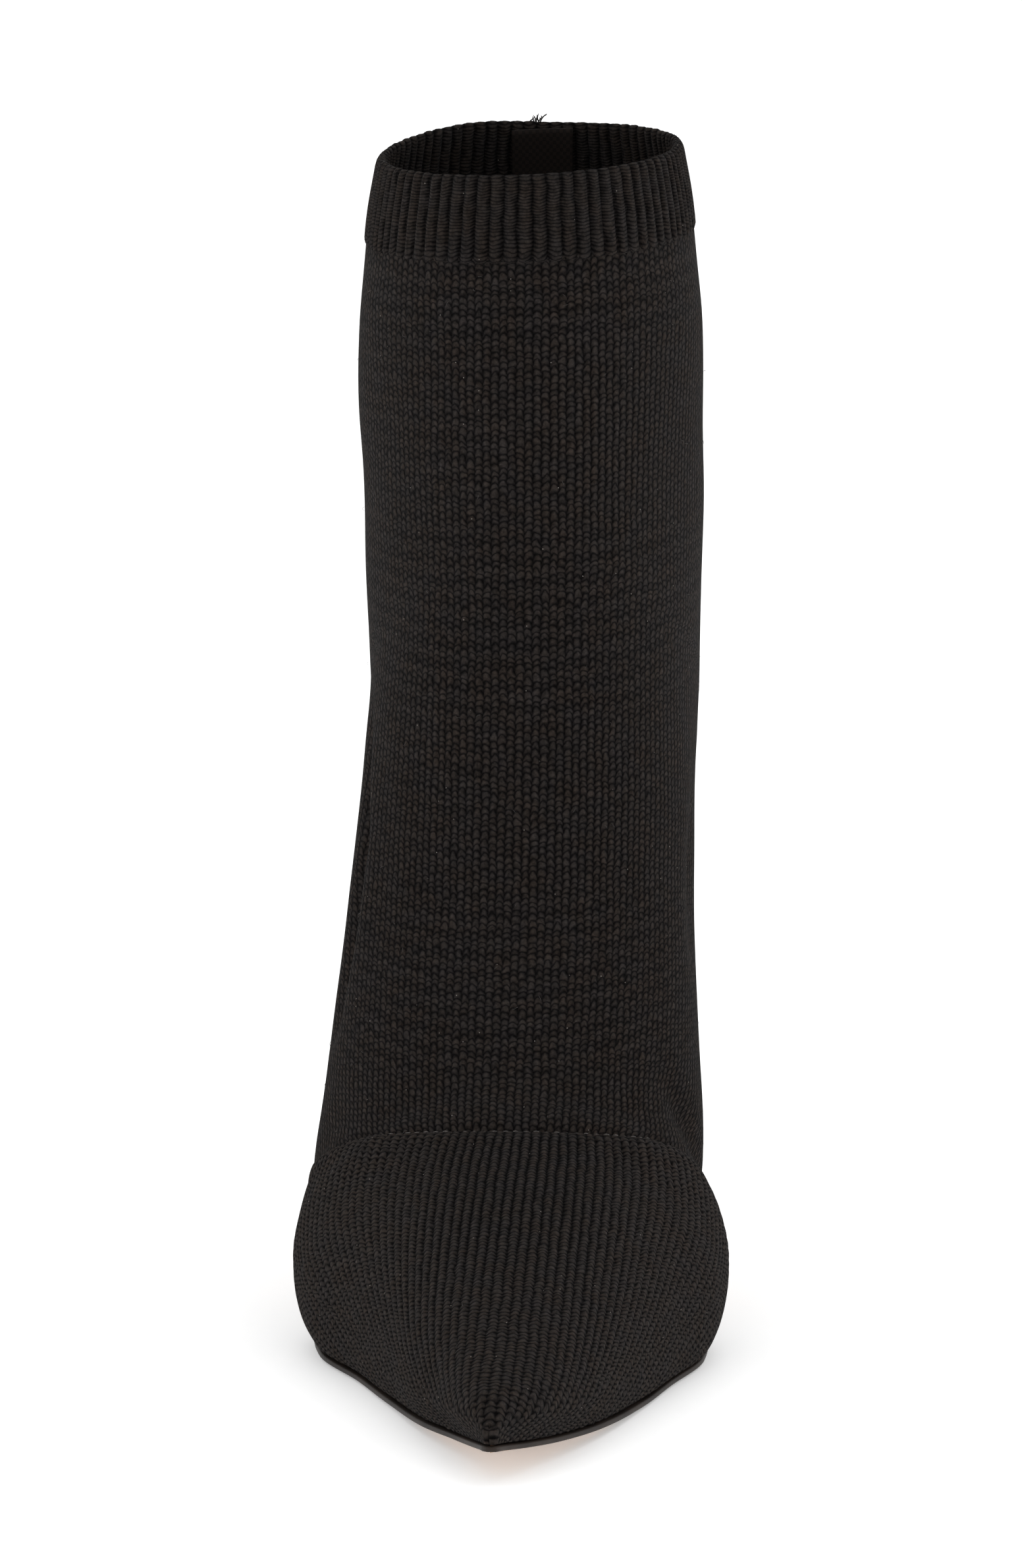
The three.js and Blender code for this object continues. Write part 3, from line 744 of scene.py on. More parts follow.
def turn_outward(bm):
    """Points the faces of a closed mesh outwards."""
    bmesh.ops.recalc_face_normals(bm, faces=bm.faces)
    if bm.calc_volume(signed=True) < 0:
        bmesh.ops.reverse_faces(bm, faces=bm.faces)


def turn_patch(bm, place, at, direction):
    """Turns an open patch over if it looks away from direction beside the vertex in row and column at."""
    face = next(vert for vert in place if place[vert] == at).link_faces[0]
    face.normal_update()
    if face.normal.dot(Vector(direction)) < 0:
        bmesh.ops.reverse_faces(bm, faces=bm.faces)


def finish(bm, name, material, replaced=(), wall=None, group=None):
    """Makes a mesh a finished piece that rides with the boot.

    wall is the thickness of an open patch, inwards, and group its share for each vertex.
    """
    mesh = bpy.data.meshes.new(name)
    for face in bm.faces:
        face.smooth = True
    bm.to_mesh(mesh)
    bm.free()
    piece = bpy.data.objects.new(name, mesh)
    bpy.context.scene.collection.objects.link(piece)
    mesh.materials.append(material)
    if group is not None:
        weights = piece.vertex_groups.new(name="wall")
        for index, weight in enumerate(group):
            weights.add([index], float(weight), "REPLACE")
    if wall:
        solidify = piece.modifiers.new("wall", "SOLIDIFY")
        solidify.thickness = wall * MM
        solidify.offset = -1.0
        if group is not None:
            solidify.vertex_group = "wall"
            solidify.thickness_vertex_group = 0.1
    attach(piece, "root")
    if replaced:
        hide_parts(*replaced)
    return piece


def pull_down(p):
    """Stretches the lower edge of the knit down over the sole's edge."""
    over = p[..., 2] - sole_height(p[..., 1])
    lowered = p.copy()
    lowered[..., 2] -= EDGE_DROP * smooth_step(over, EDGE_REACH, 0)
    return lowered


def skin(t, angle, out):
    """Points of the knit that lie a distance out from the last."""
    return pull_down(outside(t, angle) + outward(t, angle) * out[..., None])


def seam_dip(distance, p):
    """How far the knit turns in at the cross seam, less on the sides where no stitches show."""
    stitched = 1 / (1 + np.exp((np.abs(p[..., 0]) - STITCHED) / 1.5))
    return SEAM_DIP * (0.3 + 0.7 * stitched) * np.exp(-((distance / SEAM_REACH) ** 2))


def row_zones(p):
    """1 where the courses of the leg stand out and 0 where its wales do, as the bands of the knit change."""
    x, z = p[..., 0], p[..., 2]
    share = np.interp(z, KNIT_BANDS["height"], KNIT_BANDS["rows"])
    side_share = np.interp(z, KNIT_BANDS["height"], KNIT_BANDS["inner_rows"])
    inner = 1 / (1 + np.exp((x + 2) / 5))
    return share * (1 - inner) + side_share * inner


def seam_crossings(girth, arc):
    """Where each column of a patch crosses the cross seam, as a section."""
    p = outside(girth.t[:, None], girth.angles_at(arc))
    behind = seam_distance(p)
    places = []
    for j in range(arc.shape[1]):
        k = max(1, int(np.argmax(behind[:, j] > 0)))
        a, b = behind[k - 1, j], behind[k, j]
        part = np.clip(-a / (b - a), 0, 1) if b != a else 0
        places.append(girth.t[k - 1] + part * (girth.t[k] - girth.t[k - 1]))
    return np.array(places)


def column_rows(girth, t, angles, rows):
    """Rows down a column of knit that runs through sections t.

    Gives each row's section and angle, and its distances from the column's start and end. rows is the
    function that spaces them out over the column's whole length.
    """
    angle = np.interp(t, girth.t, angles)
    run = lengths_along(outside(t, angle), 0)
    place = rows(run[-1])
    return [np.interp(place, run, t), np.interp(place, run, angle), place, run[-1] - place]


def leg_rows(whole):
    """Close together next to the cross seam, and then even."""
    return np.concatenate([SEAM_EDGE, np.linspace(SEAM_EDGE[-1], whole, LEG_ROWS)[1:]])


def vamp_rows(whole):
    """Close together next to the sole and the cross seam, and closer still where the vamp is short."""
    scale = min(1.0, whole / (SOLE_EDGE[-1] + SEAM_EDGE[-1] + 1e-6))
    near_sole, near_seam = SOLE_EDGE * scale, SEAM_EDGE * scale
    middle = np.linspace(near_sole[-1], whole - near_seam[-1], VAMP_ROWS)
    return np.concatenate([near_sole, middle[1:-1], (whole - near_seam)[::-1]])


def leg_columns():
    """The leg from the middle of the back round the front and back again, a column for each step of a wale.

    Gives the wales, and for every ring and column the section, the angle and the distances from the
    cross seam and from the cuff.
    """
    girth = Girth(FIRST_LEG_SECTION, CUFF_SECTION)
    half = LEG_WALES / 2
    wales = np.linspace(-half, half, LEG_WALES * STEPS_A_LEG_WALE + 1)
    whole = np.where(wales < 0, girth.whole[-1][:, None], girth.whole[1][:, None])
    spare = (whole - LEG_WALE * half) * np.sign(wales) * (wales / half) ** 2
    arc = girth.within(LEG_WALE * wales + spare)
    angles = girth.angles_at(arc)
    columns = []
    for j, start in enumerate(seam_crossings(girth, arc)):
        t = np.concatenate([[start], girth.t[girth.t > start]])
        columns.append(column_rows(girth, t, angles[:, j], leg_rows))
    return wales, *np.moveaxis(np.array(columns), 0, -1)


def stitch_map(wales, distance, course):
    """U counts wales and V counts courses of stitches."""
    return np.stack([np.broadcast_to(wales, distance.shape), distance / course], axis=-1)


def build_leg(look):
    """The leg and the quarters. The wales stand out a little in front, and the stitches are bump."""
    wales, t, angle, from_seam, from_cuff = leg_columns()
    base = outside(t, angle)
    wave = np.abs(np.sin(math.pi * wales)) ** 0.7
    fade = fade_in(from_seam, 2) * fade_in(from_cuff, 2)
    frontal = 1 - 0.8 * fade_in(np.abs(wales) - FRONT_WALES, 8)
    relief = (LEG_RELIEF * (1 - row_zones(base)) + LEAST_RELIEF) * frontal * fade * (wave - 1)
    soft = softness(base) * fade_in(from_cuff, 12) * fade_in(from_seam, 8)
    from_back = (LEG_WALES / 2 - np.abs(wales)) * LEG_WALE
    back_seam = BACK_SEAM_DEPTH * np.exp(-((from_back / BACK_SEAM_REACH) ** 2))
    out = relief + soft - crease_depth(base) - seam_dip(from_seam, base) - back_seam
    bm = bmesh.new()
    layer = bm.loops.layers.uv.new("stitches")
    shown_rows = bm.verts.layers.float.new("rows")
    place = add_patch(bm, skin(t, angle, out), stitch_map(wales, from_cuff, COURSE), layer)
    turn_patch(bm, place, (LEG_ROWS // 2, len(wales) // 2), (0, -1, 0))
    for vert in bm.verts:
        vert[shown_rows] = float(row_zones(np.array(vert.co) / MM - (AXIS_X, TIP_Y, 0.0)))
    weld(bm)
    # The leg's yarn is darkened a little, partly as painted shade.
    material = knit("flat_knit_wool", depth=0.3, shade=0.9, rows="rows", bridging=0.4, stagger=0.5)
    return finish(bm, "knit_leg", material, ["upper"], look.wall / MM)


def vamp_columns():
    """The vamp, a column for each step of a wale, from the sole's edge up to the cross seam.

    The wales run on from the toe at an even pitch, lean to the outer side and draw together over the last
    stretch to the seam.
    """
    girth = Girth(0.0, VAMP_END)
    pitch = VAMP_WALE * (1 - FAN)
    ends = []
    for side in (-1, 1):
        corner = int(np.argmax(seam_distance(girth.edge(side)) > 0))
        ends.append((side * girth.whole[side][corner] - LEAN) / pitch)
    wales = np.linspace(*ends, int(round((ends[1] - ends[0]) * STEPS_A_VAMP_WALE)) + 1)
    wales -= wales[np.argmin(np.abs(wales))]
    ridge = LEAN * fade_in(girth.t[:, None], LEAN_OVER)
    starts = seam_crossings(girth, girth.within(pitch * wales + ridge))
    to_seam = np.maximum(starts - girth.t[:, None], 0)
    wanted = VAMP_WALE * wales * (1 - FAN * np.exp(-to_seam / FAN_REACH)) + ridge
    arc = girth.within(wanted)
    angles = girth.angles_at(arc)
    columns = []
    for j, start in enumerate(starts):
        on_knit = np.flatnonzero(arc[:, j] == wanted[:, j])
        end = min(girth.t[on_knit[0]], start) if len(on_knit) else start
        t = np.concatenate([[end], girth.t[(girth.t > end) & (girth.t < start)], [start]])
        columns.append(column_rows(girth, t, angles[:, j], vamp_rows))
    return wales, *np.moveaxis(np.array(columns), 0, -1)


def tip_rows(first, wales, at_tip):
    """Rows that round the blunt end of the toe off and close it, the last one folded along the middle."""
    rows = []
    for s in np.linspace(1, 0, CAP_ROWS + 1)[1:]:
        row = first.copy()
        row[at_tip, 0] *= s
        row[at_tip, 1] -= TIP_BULGE * math.sqrt(1 - s * s)
        rows.append(row)
    top = first[at_tip, 2].max()
    bottom = sole_height(0.0) - EDGE_DROP
    for half in (at_tip & (wales <= 0), at_tip & (wales >= 0)):
        reach = np.abs(wales[half]) / np.abs(wales[half]).max()
        rows[-1][half, 2] = top + (bottom - top) * reach
    return np.array(rows[::-1])


def build_vamp(look):
    """The vamp: each wale is a ridge, and the closed toe has its own rows. The wall thins out at the tip."""
    wales, t, angle, from_sole, from_seam = vamp_columns()
    base = outside(t, angle)
    wave = np.abs(np.cos(math.pi * wales)) ** 0.8
    fade = fade_in(from_seam, 2.5) * fade_in(from_sole, 2) * fade_in(from_sole + from_seam, 8)
    tip = smooth_step(base[..., 1], -6, 60)
    flat_side = 1 - 0.55 * fade_in(np.abs(wales) - 11, 8)
    relief = look.vamp_relief / MM * flat_side * fade * tip * (wave - 1)
    tuck = TUCK * tip * np.exp(-(from_sole**2))
    soft = 0.6 * softness(base) * fade * tip
    out = VAMP_STEP + relief + soft - crease_depth(base) * fade - seam_dip(from_seam, base) - tuck
    points = skin(t, angle, out)
    stitches = stitch_map(wales + 0.5, from_seam, VAMP_COURSE)
    cap = tip_rows(points[0], wales, t[0] < 0.02)
    points = np.concatenate([cap, points])
    stitches = np.concatenate([np.repeat(stitches[:1], CAP_ROWS, axis=0), stitches])
    bm = bmesh.new()
    layer = bm.loops.layers.uv.new("stitches")
    bridging = bm.verts.layers.float.new("bridging")
    place = add_patch(bm, points, stitches, layer)
    # Partly the knit's structure, partly painted shade: the yarn fills the gaps between the wales more
    # towards the sides and the toe, so the middle of the vamp, where less light falls, has wider dark gaps
    # and comes out darker.
    to_side = fade_in(np.abs(wales) - 4, 10)
    to_toe = smooth_step(-points[..., 1], -75, -25)
    for vert, (row, column) in place.items():
        vert[bridging] = 0.22 + 0.5 * max(to_side[column], 0.6 * to_toe[row, column])
    turn_patch(bm, place, (points.shape[0] // 2, int(np.argmin(np.abs(wales)))), (0, 0, 1))
    weld(bm)
    wall = [fade_in(vert.co.y / MM - TIP_Y - 2, 22) for vert in bm.verts]
    # On the vamp the painted shade in the gaps reaches higher, and the yarn is darkened a little, partly as
    # painted shade.
    material = knit("ribbed_knit_wool", depth=0.35, shade=0.93, bridging="bridging", pits=0.34)
    return finish(bm, "knit_vamp", material, ["upper"], look.wall / MM, wall)


def build_cuff(look):
    """The ribbed cuff, wrapped over the rim, with its ribs inside and outside."""
    columns = RIBS * STEPS_A_RIB
    turn = np.linspace(0, 2 * math.pi, RIM_STEPS)
    run = lengths_along(outside(CUFF_SECTION + 0.5, turn), 0)
    angle = np.interp(np.linspace(0, run[-1], columns + 1), run, turn)
    ribs = np.linspace(0, RIBS, columns + 1)
    share = ribs % 1
    wave = np.abs(np.sin(math.pi * ribs)) ** 0.85 - 0.24 * np.exp(-(((share - SHALLOW_GROOVE) / 0.09) ** 2))
    chance = np.random.default_rng(7)
    uneven = np.repeat(chance.normal(0, RIB_UNEVENNESS, RIBS), STEPS_A_RIB)
    uneven = np.append(uneven, uneven[0])
    points = []
    stitches = []
    for up, out, rib in zip(CUFF_PROFILE["up"], CUFF_PROFILE["out"], CUFF_PROFILE["rib"]):
        level = CUFF_SECTION + np.clip(up, 0, CUFF_HEIGHT) / CUFF_HEIGHT
        t = np.full_like(angle, level)
        depth = look.rib_depth / MM * (1.0 if out > -0.8 else -0.75)
        across = outward(t, angle)
        row = outside(t, angle) + across * (out + rib * depth * (wave - 1))[:, None]
        at_top = fade_in(up - 15, 2)
        at_foot = np.clip(0.6 - up, 0, 1) * (out > -0.2)
        row[:, 2] += min(up, 0.0) + at_top * (RIM_SCALLOP * (wave - 1) + uneven * wave)
        row[:, 2] -= 0.5 * at_foot * wave
        from_lift = (row[:, 0] - RIM_LIFT_PLACE) / RIM_LIFT_REACH
        at_back = smooth_step(-np.sin(angle), 0.0, 0.5) * np.exp(-(from_lift**2))
        row[:, 2] += RIM_LIFT * at_back * smooth_step(np.float64(up), 4.0, 16.0)
        points.append(row)
        stitches.append(np.stack([ribs, np.full_like(ribs, (up + abs(out) * 0.5) / RIB_COURSE)], axis=-1))
    bm = bmesh.new()
    layer = bm.loops.layers.uv.new("stitches")
    add_patch(bm, np.array(points), np.array(stitches), layer)
    weld(bm)
    turn_outward(bm)
    # The cuff's yarn is darkened most, partly as painted shade.
    material = knit("rib_knit_wool", depth=0.25, shade=0.8, bridging=0.45)
    return finish(bm, "rib_cuff", material, ["upper"])


def add_thread(bm, path, radius=THREAD_RADIUS, sides=6):
    """Adds a thread with closed ends along a path in millimetres."""
    path = np.array(path, float)
    run = unit(np.gradient(path, axis=0))
    aside = unit(np.cross(run, (0.3, 0.2, 0.93)))
    above = np.cross(run, aside)
    turn = np.linspace(0, 2 * math.pi, sides + 1)
    ring = aside[:, None] * np.cos(turn)[None, :, None] + above[:, None] * np.sin(turn)[None, :, None]
    size = np.full(len(path), radius)
    size[[0, -1]] = 1e-6
    add_patch(bm, path[:, None] + ring * size[:, None, None])


def finish_threads(bm, name, material):
    weld(bm)
    turn_outward(bm)
    return finish(bm, name, material)


def build_seam_stitches():
    """The small stitches that show in the groove of the cross seam."""
    _, t, angle, _, _ = leg_columns()
    line = outside(t[0], angle[0]) + outward(t[0], angle[0]) * (0.35 - SEAM_DIP)
    line = line[np.abs(line[:, 0]) < STITCHED]
    run = lengths_along(line, 0)
    bm = bmesh.new()
    chance = np.random.default_rng(11)
    for start in np.arange(0.0, run[-1] - 1.5, SEAM_STITCH):
        length = STITCH_LENGTH + chance.normal(0, 0.12)
        stops = start + np.array([0, 0.12, 0.5, 0.88, 1]) * length
        path = np.stack([np.interp(stops, run, line[:, k]) for k in range(3)], axis=-1)
        path[:, 2] += np.array([-0.25, 0.05, 0.12, 0.05, -0.25]) + chance.normal(0, 0.08)
        add_thread(bm, path)
    return finish_threads(bm, "seam_stitches", sewing_thread("twisted_thread", "#1E1B19", "#4C4642"))


def build_loose_ends():
    """A few loose ends of yarn at the back of the rim."""
    rim = outside(LAST_SECTION, BACK) + (0.0, 0.0, RIM_LIFT * 0.35)
    chance = np.random.default_rng(3)
    bm = bmesh.new()
    for _ in range(LOOSE_ENDS):
        start = rim + (chance.uniform(-3.0, -0.5), chance.uniform(-1.3, -0.3), -0.8)
        lean = np.array([chance.uniform(-0.7, 0.7), chance.uniform(-0.5, 0.5), 1.0])
        height = chance.uniform(1.6, 2.8)
        share = np.linspace(0, 1, 7)[:, None]
        curl = np.stack([0.35 * np.sin(5 * share[:, 0] + chance.uniform(0, 6)) for _ in range(3)], axis=-1)
        add_thread(bm, start + share * lean * height + curl * share, sides=5)
    return finish_threads(bm, "thread_tuft", sewing_thread("cut_yarn", "#110F0E", "#2B2725"))


def build_fibres():
    """Short stray fibres that stand off the knit."""
    chance = np.random.default_rng(19)
    bm = bmesh.new()
    for _ in range(FIBRES):
        t = np.array(chance.uniform(3.0, LAST_SECTION - 1))
        angle = np.array(chance.uniform(-0.1, 1.1) * math.pi)
        place = outside(t, angle)
        root = skin(t, angle, softness(place) - crease_depth(place))
        if root[2] < sole_height(root[1]) + 2:
            continue
        out = outward(t, angle)
        along = unit(np.cross(out, chance.normal(0, 1, 3)))
        length = chance.uniform(0.5, 1.6)
        share = np.linspace(0, 1, 6)[:, None]
        lift = chance.uniform(0.15, 0.6) * np.sin(share * math.pi * chance.uniform(0.5, 1.0))
        bend = np.cross(out, along) * chance.uniform(-0.7, 0.7) * share**2
        path = root + length * (share * along + lift * out + bend)
        add_thread(bm, path, chance.uniform(0.03, 0.045), 4)
    return finish_threads(bm, "stray_fibres", sewing_thread("stray_fibre", "#1A1716", "#3A3532"))


def build_back_tape(look):
    """The tape over the seam inside the back of the leg, with its two edges sewn down."""
    t = np.linspace(HEEL_BACK_SECTION, LAST_SECTION, 400)
    line = outside(t, BACK)
    tape_top = BOOT_HEIGHT - TAPE_BELOW_RIM
    rows = np.linspace(tape_top - TAPE_LENGTH + 1.3, tape_top, TAPE_ROWS)
    t_rows = np.interp(rows, line[:, 2], t)
    across = np.linspace(-TAPE_WIDTH / 2, TAPE_WIDTH / 2, TAPE_COLUMNS)
    angles = np.linspace(BACK - math.pi / 4, BACK + math.pi / 4, 400)
    angle = np.array([np.interp(across, outside(place, angles)[:, 0], angles) for place in t_rows])
    place = np.broadcast_to(t_rows[:, None], angle.shape)
    edge = np.abs(across) / (TAPE_WIDTH / 2)
    pucker = 0.12 * np.sin(rows[:, None] * 2.6) * (edge > 0.75)
    sewn_down = 0.1 * np.exp(-(((edge - 0.82) / 0.06) ** 2))
    deep = -(look.wall / MM + FIT_GAP) - 0.12 + pucker * 0.4 - sewn_down
    points = outside(place, angle) + outward(place, angle) * deep[..., None]
    stitches = np.stack(np.broadcast_arrays(across[None, :], rows[:, None]), axis=-1) / TAPE_THREAD
    bm = bmesh.new()
    layer = bm.loops.layers.uv.new("stitches")
    turn_patch(bm, add_patch(bm, points, stitches, layer), (0, 0), (0, 1, 0))
    return finish(bm, "back_tape_woven", woven_tape(), ["back_tape"], TAPE_THICKNESS * 0.7)


def feather_line():
    """The outline of the upper's lower edge on either side, from the toe to the back."""
    sides = {}
    girth = Girth(0.0, HEEL_BACK_SECTION)
    for side in (-1, 1):
        edge = girth.edge(side)
        turned = np.flatnonzero(np.diff(edge[:, 1]) <= 0)
        sides[side] = edge[: turned[0] + 1 if len(turned) else len(edge)]
    return sides


def slab(inset, low, high, rounding, tip_inset):
    """A layer of the sole, between two heights over the sole line and with rounded edges.

    Its outline is the feather line's, drawn in by inset, or by tip_inset at the toe.
    """
    sides = feather_line()
    first = max(0.0, sides[1][0, 1]) + tip_inset
    last = min(sides[1][-1, 1], sides[-1][-1, 1]) - inset
    stations = first + (last - first) * (1 - np.cos(np.linspace(0, math.pi, SLAB_STATIONS))) / 2
    around = np.linspace(0, 2 * math.pi, SLAB_SIDES + 1)
    points = []
    for y in stations:
        drawn = tip_inset + (inset - tip_inset) * fade_in(y - first, 40)
        drawn += smooth_step(y, SEAT_START, SEAT_FULL)
        close = math.sqrt(max(0.0004, 1 - (max(0.0, y - (last - BACK_ROUNDING)) / BACK_ROUNDING) ** 2))
        right = max(0.02, np.interp(y, sides[1][:, 1], sides[1][:, 0]) - drawn) * close
        left = min(-0.02, np.interp(y, sides[-1][:, 1], sides[-1][:, 0]) + drawn) * close
        half, centre = (right - left) / 2, (right + left) / 2
        round_x = min(rounding, half)
        x = centre + oval(np.cos(around), 2.4) * round_x + np.sign(np.cos(around)) * (half - round_x)
        z = sole_height(np.float64(y)) + (low + high) / 2 + oval(np.sin(around), 2.6) * (high - low) / 2
        points.append(np.stack([x, np.full_like(x, y), z], axis=-1))
    points = np.array(points)
    points[[0, -1]] = points[[0, -1]].mean(axis=1, keepdims=True)
    bm = bmesh.new()
    add_patch(bm, points)
    weld(bm)
    turn_outward(bm)
    return bm


def build_rand():
    """The rounded strip round the sole's edge, under the knit that is pulled over it."""
    sides = feather_line()
    loop = np.concatenate([sides[1], sides[-1][::-1]])[:, :2]
    apart = np.linalg.norm(np.diff(loop, axis=0), axis=1) > 1e-6
    loop = loop[np.concatenate([[True], apart])]
    closed = np.concatenate([loop, loop[:1]])
    run = lengths_along(closed, 0)
    stops = np.linspace(0, run[-1], RAND_POINTS)
    path = np.stack([np.interp(stops, run, closed[:, k]) for k in range(2)], axis=-1)
    # the two sides meet in a corner at the back, which is smoothed away, and so are the tip's directions
    at_back = smooth_step(path[:, 1:], SHOE_LENGTH - 30, SHOE_LENGTH - 15)
    for _ in range(40):
        path += at_back * (0.5 * (np.roll(path, 1, axis=0) + np.roll(path, -1, axis=0)) - path) * 0.5
    ahead = unit(np.roll(path[:-1], -1, axis=0) - np.roll(path[:-1], 1, axis=0))
    normal = np.stack([ahead[:, 1], -ahead[:, 0]], axis=-1)
    for _ in range(3):
        normal = unit(normal + 0.5 * (np.roll(normal, 1, axis=0) + np.roll(normal, -1, axis=0)))
    normal = np.concatenate([normal, normal[:1]])
    proud = VAMP_STEP + RAND_PROUD
    half_width = np.interp(path[:, 1], sides[1][:, 1], sides[1][:, 0])
    inside = np.clip(half_width * 0.6, 0.3, 4.0)
    points = []
    for turn in np.linspace(0, 2 * math.pi, RAND_SIDES + 1):
        outer = oval(np.cos(turn), 2.6)
        straight = proud - RAND_ROUNDING
        reach = straight + np.where(outer > 0, outer * RAND_ROUNDING, outer * (inside + straight))
        z = sole_height(np.clip(path[:, 1], 0, SHOE_LENGTH)) - FIT_GAP - EDGE_DROP
        z = z - RAND_THICKNESS / 2 + oval(np.sin(turn), 2.6) * RAND_THICKNESS / 2
        points.append(np.column_stack([path + normal * reach[:, None], z]))
    bm = bmesh.new()
    add_patch(bm, np.array(points))
    weld(bm)
    turn_outward(bm)
    return finish(bm, "edge_rand", edge_dye(), ["rand"])


def build_sole(look):
    """The rand, the leather sole under it and the sock lining inside."""
    build_rand()
    tan = leather("vegetable_tanned_sole_leather", look.leather, look.leather_pore, roughness=0.42,
                  coat=0.25, grain=0.5, depth=0.05)
    sole = slab(inset=1.9, low=-SOLE_STACK, high=-FIT_GAP - RAND_THICKNESS - 0.2, rounding=0.7,
                tip_inset=2.0)
    finish(sole, "sole_leather", tan, ["outsole"])
    lining = leather("drum_dyed_lining_leather", "#2C2826", "#1D1A18", roughness=0.6, coat=0.0, grain=0.6,
                     depth=0.06)
    sock = slab(inset=KNIT_WALL + FIT_GAP + 0.2, low=0.05, high=INSOLE_THICKNESS, rounding=1.1,
                tip_inset=14.0)
    finish(sock, "sock_lining", lining, ["insole"])


def on_boot(x, y, z):
    """A place in the boot's own frame, in metres in the scene's."""
    return Vector((x + AXIS_X, y + TIP_Y, z)) * MM


def ring(bm, shape, half, back, front, height, cap=False):
    """Adds a ring of the heel's outline, each vertex as high as height says for its place."""
    made = bmesh.ops.create_circle(bm, cap_ends=cap, segments=HEEL_SEGMENTS, radius=1.0)["verts"]
    for vert in made:
        x, y = oval(np.array([vert.co.x, vert.co.y]), shape)
        along = (back + front) / 2 + y * (back - front) / 2
        vert.co = on_boot(x * half, along, height(along))
    return made


def round_edges(bm, edges, offset):
    bmesh.ops.bevel(bm, geom=edges, offset=offset * MM, segments=3, affect="EDGES", profile=0.5, material=-1)


def build_heel_cover():
    """The slim heel, wrapped in smooth leather."""
    foot = LIFT_THICKNESS + FIT_GAP
    seat = SOLE_STACK + HEEL_RISE
    bm = bmesh.new()
    rings = []
    for share in np.linspace(0, 1, HEEL_RINGS):
        row = {name: between(HEEL_ROWS["up"], HEEL_ROWS[name], share) for name in HEEL_ROWS}
        z = foot + (seat - foot) * share
        back = HEEL_CENTRE + LIFT_LENGTH / 2
        back += (SHOE_LENGTH - SEAT_MARGIN - back) * row["back"]
        front = HEEL_CENTRE - LIFT_LENGTH / 2
        front += (BREAST_ALONG - front) * row["front"]
        half = (LIFT_WIDTH + (SEAT_WIDTH - LIFT_WIDTH) * row["width"]) / 2

        def height(along, z=z):
            return min(z, float(sole_height(np.float64(along))) - SOLE_STACK - FIT_GAP)

        made = ring(bm, row["round"], half, back, front, height)
        rings.append(list({edge for vert in made for edge in vert.link_edges}))
    for lower, upper in zip(rings[:-1], rings[1:]):
        bmesh.ops.bridge_loops(bm, edges=lower + upper)
    bmesh.ops.holes_fill(bm, edges=rings[0] + rings[-1], sides=0)
    round_edges(bm, rings[0], HEEL_ROUNDING)
    weld(bm, 1e-6)
    turn_outward(bm)
    cover = leather("smooth_covered_heel_leather", "#161413", "#0E0C0C", roughness=0.5, coat=0.05,
                    grain=0.35, depth=0.04)
    finish(bm, "heel_cover", cover, ["heel"])


def build_top_lift():
    """The rubber top lift under the heel."""
    bm = bmesh.new()
    ends = (HEEL_CENTRE + LIFT_LENGTH / 2, HEEL_CENTRE - LIFT_LENGTH / 2)
    ring(bm, HEEL_ROWS["round"][0], LIFT_WIDTH / 2, *ends, lambda along: 0.0, cap=True)
    raised = bmesh.ops.extrude_face_region(bm, geom=bm.faces[:])["geom"]
    raised = [item for item in raised if isinstance(item, bmesh.types.BMVert)]
    bmesh.ops.translate(bm, verts=raised, vec=(0, 0, LIFT_THICKNESS * MM))
    rim = [edge for edge in bm.edges if abs(edge.verts[0].co.z - edge.verts[1].co.z) < 1e-6]
    round_edges(bm, rim, LIFT_ROUNDING)
    turn_outward(bm)
    finish(bm, "top_lift_rubber", lift_rubber(), ["top_lift"])


def soft_light(name, place, target, size, power):
    """Adds a square light, size metres wide, that the camera doesn't see."""
    data = bpy.data.lights.new(name, "AREA")
    data.size = size
    data.energy = power
    light = bpy.data.objects.new(name, data)
    light.visible_camera = False
    light.location = place
    light.rotation_euler = (Vector(target) - Vector(place)).to_track_quat("-Z", "Y").to_euler()
    bpy.context.scene.collection.objects.link(light)


def build_stage(look):
    """White paper floor, a pale surround, soft lights and the camera."""
    bm = bmesh.new()
    bmesh.ops.create_circle(bm, cap_ends=True, cap_tris=True, segments=96, radius=FLOOR_RADIUS)
    mesh = bpy.data.meshes.new("paper_floor")
    bm.to_mesh(mesh)
    bm.free()
    floor = bpy.data.objects.new("paper_floor", mesh)
    bpy.context.scene.collection.objects.link(floor)
    mesh.materials.append(white_paper())

    world = bpy.data.worlds.new("pale_surround")
    bpy.context.scene.world = world
    world.use_nodes = True
    background = world.node_tree.nodes["Background"]
    background.inputs["Color"].default_value = (1.0, 1.0, 1.0, 1.0)
    background.inputs["Strength"].default_value = look.surround
    soft_light("top", (0.25, 0.1, 2.2), (0, 0, 0), 2.4, look.top_light)
    soft_light("inner_side", (-1.8, -0.3, 0.15), (0, 0, 0.08), 0.9, look.side_lights)
    soft_light("outer_side", (1.8, -0.3, 0.15), (0, 0, 0.08), 0.9, look.side_lights)

    camera_data = bpy.data.cameras.new("photo_camera")
    camera_data.lens = look.lens
    camera_data.sensor_width = 36.0
    camera_data.clip_end = 60.0
    camera = bpy.data.objects.new("photo_camera", camera_data)
    turn, tilt = look.camera_turn, look.camera_tilt
    camera.location = look.camera_place
    view = Vector((-math.sin(turn) * math.cos(tilt), math.cos(turn) * math.cos(tilt), -math.sin(tilt)))
    camera.rotation_euler = view.to_track_quat("-Z", "Y").to_euler()
    bpy.context.scene.collection.objects.link(camera)
    bpy.context.scene.camera = camera
    bpy.context.scene.view_settings.view_transform = "Standard"


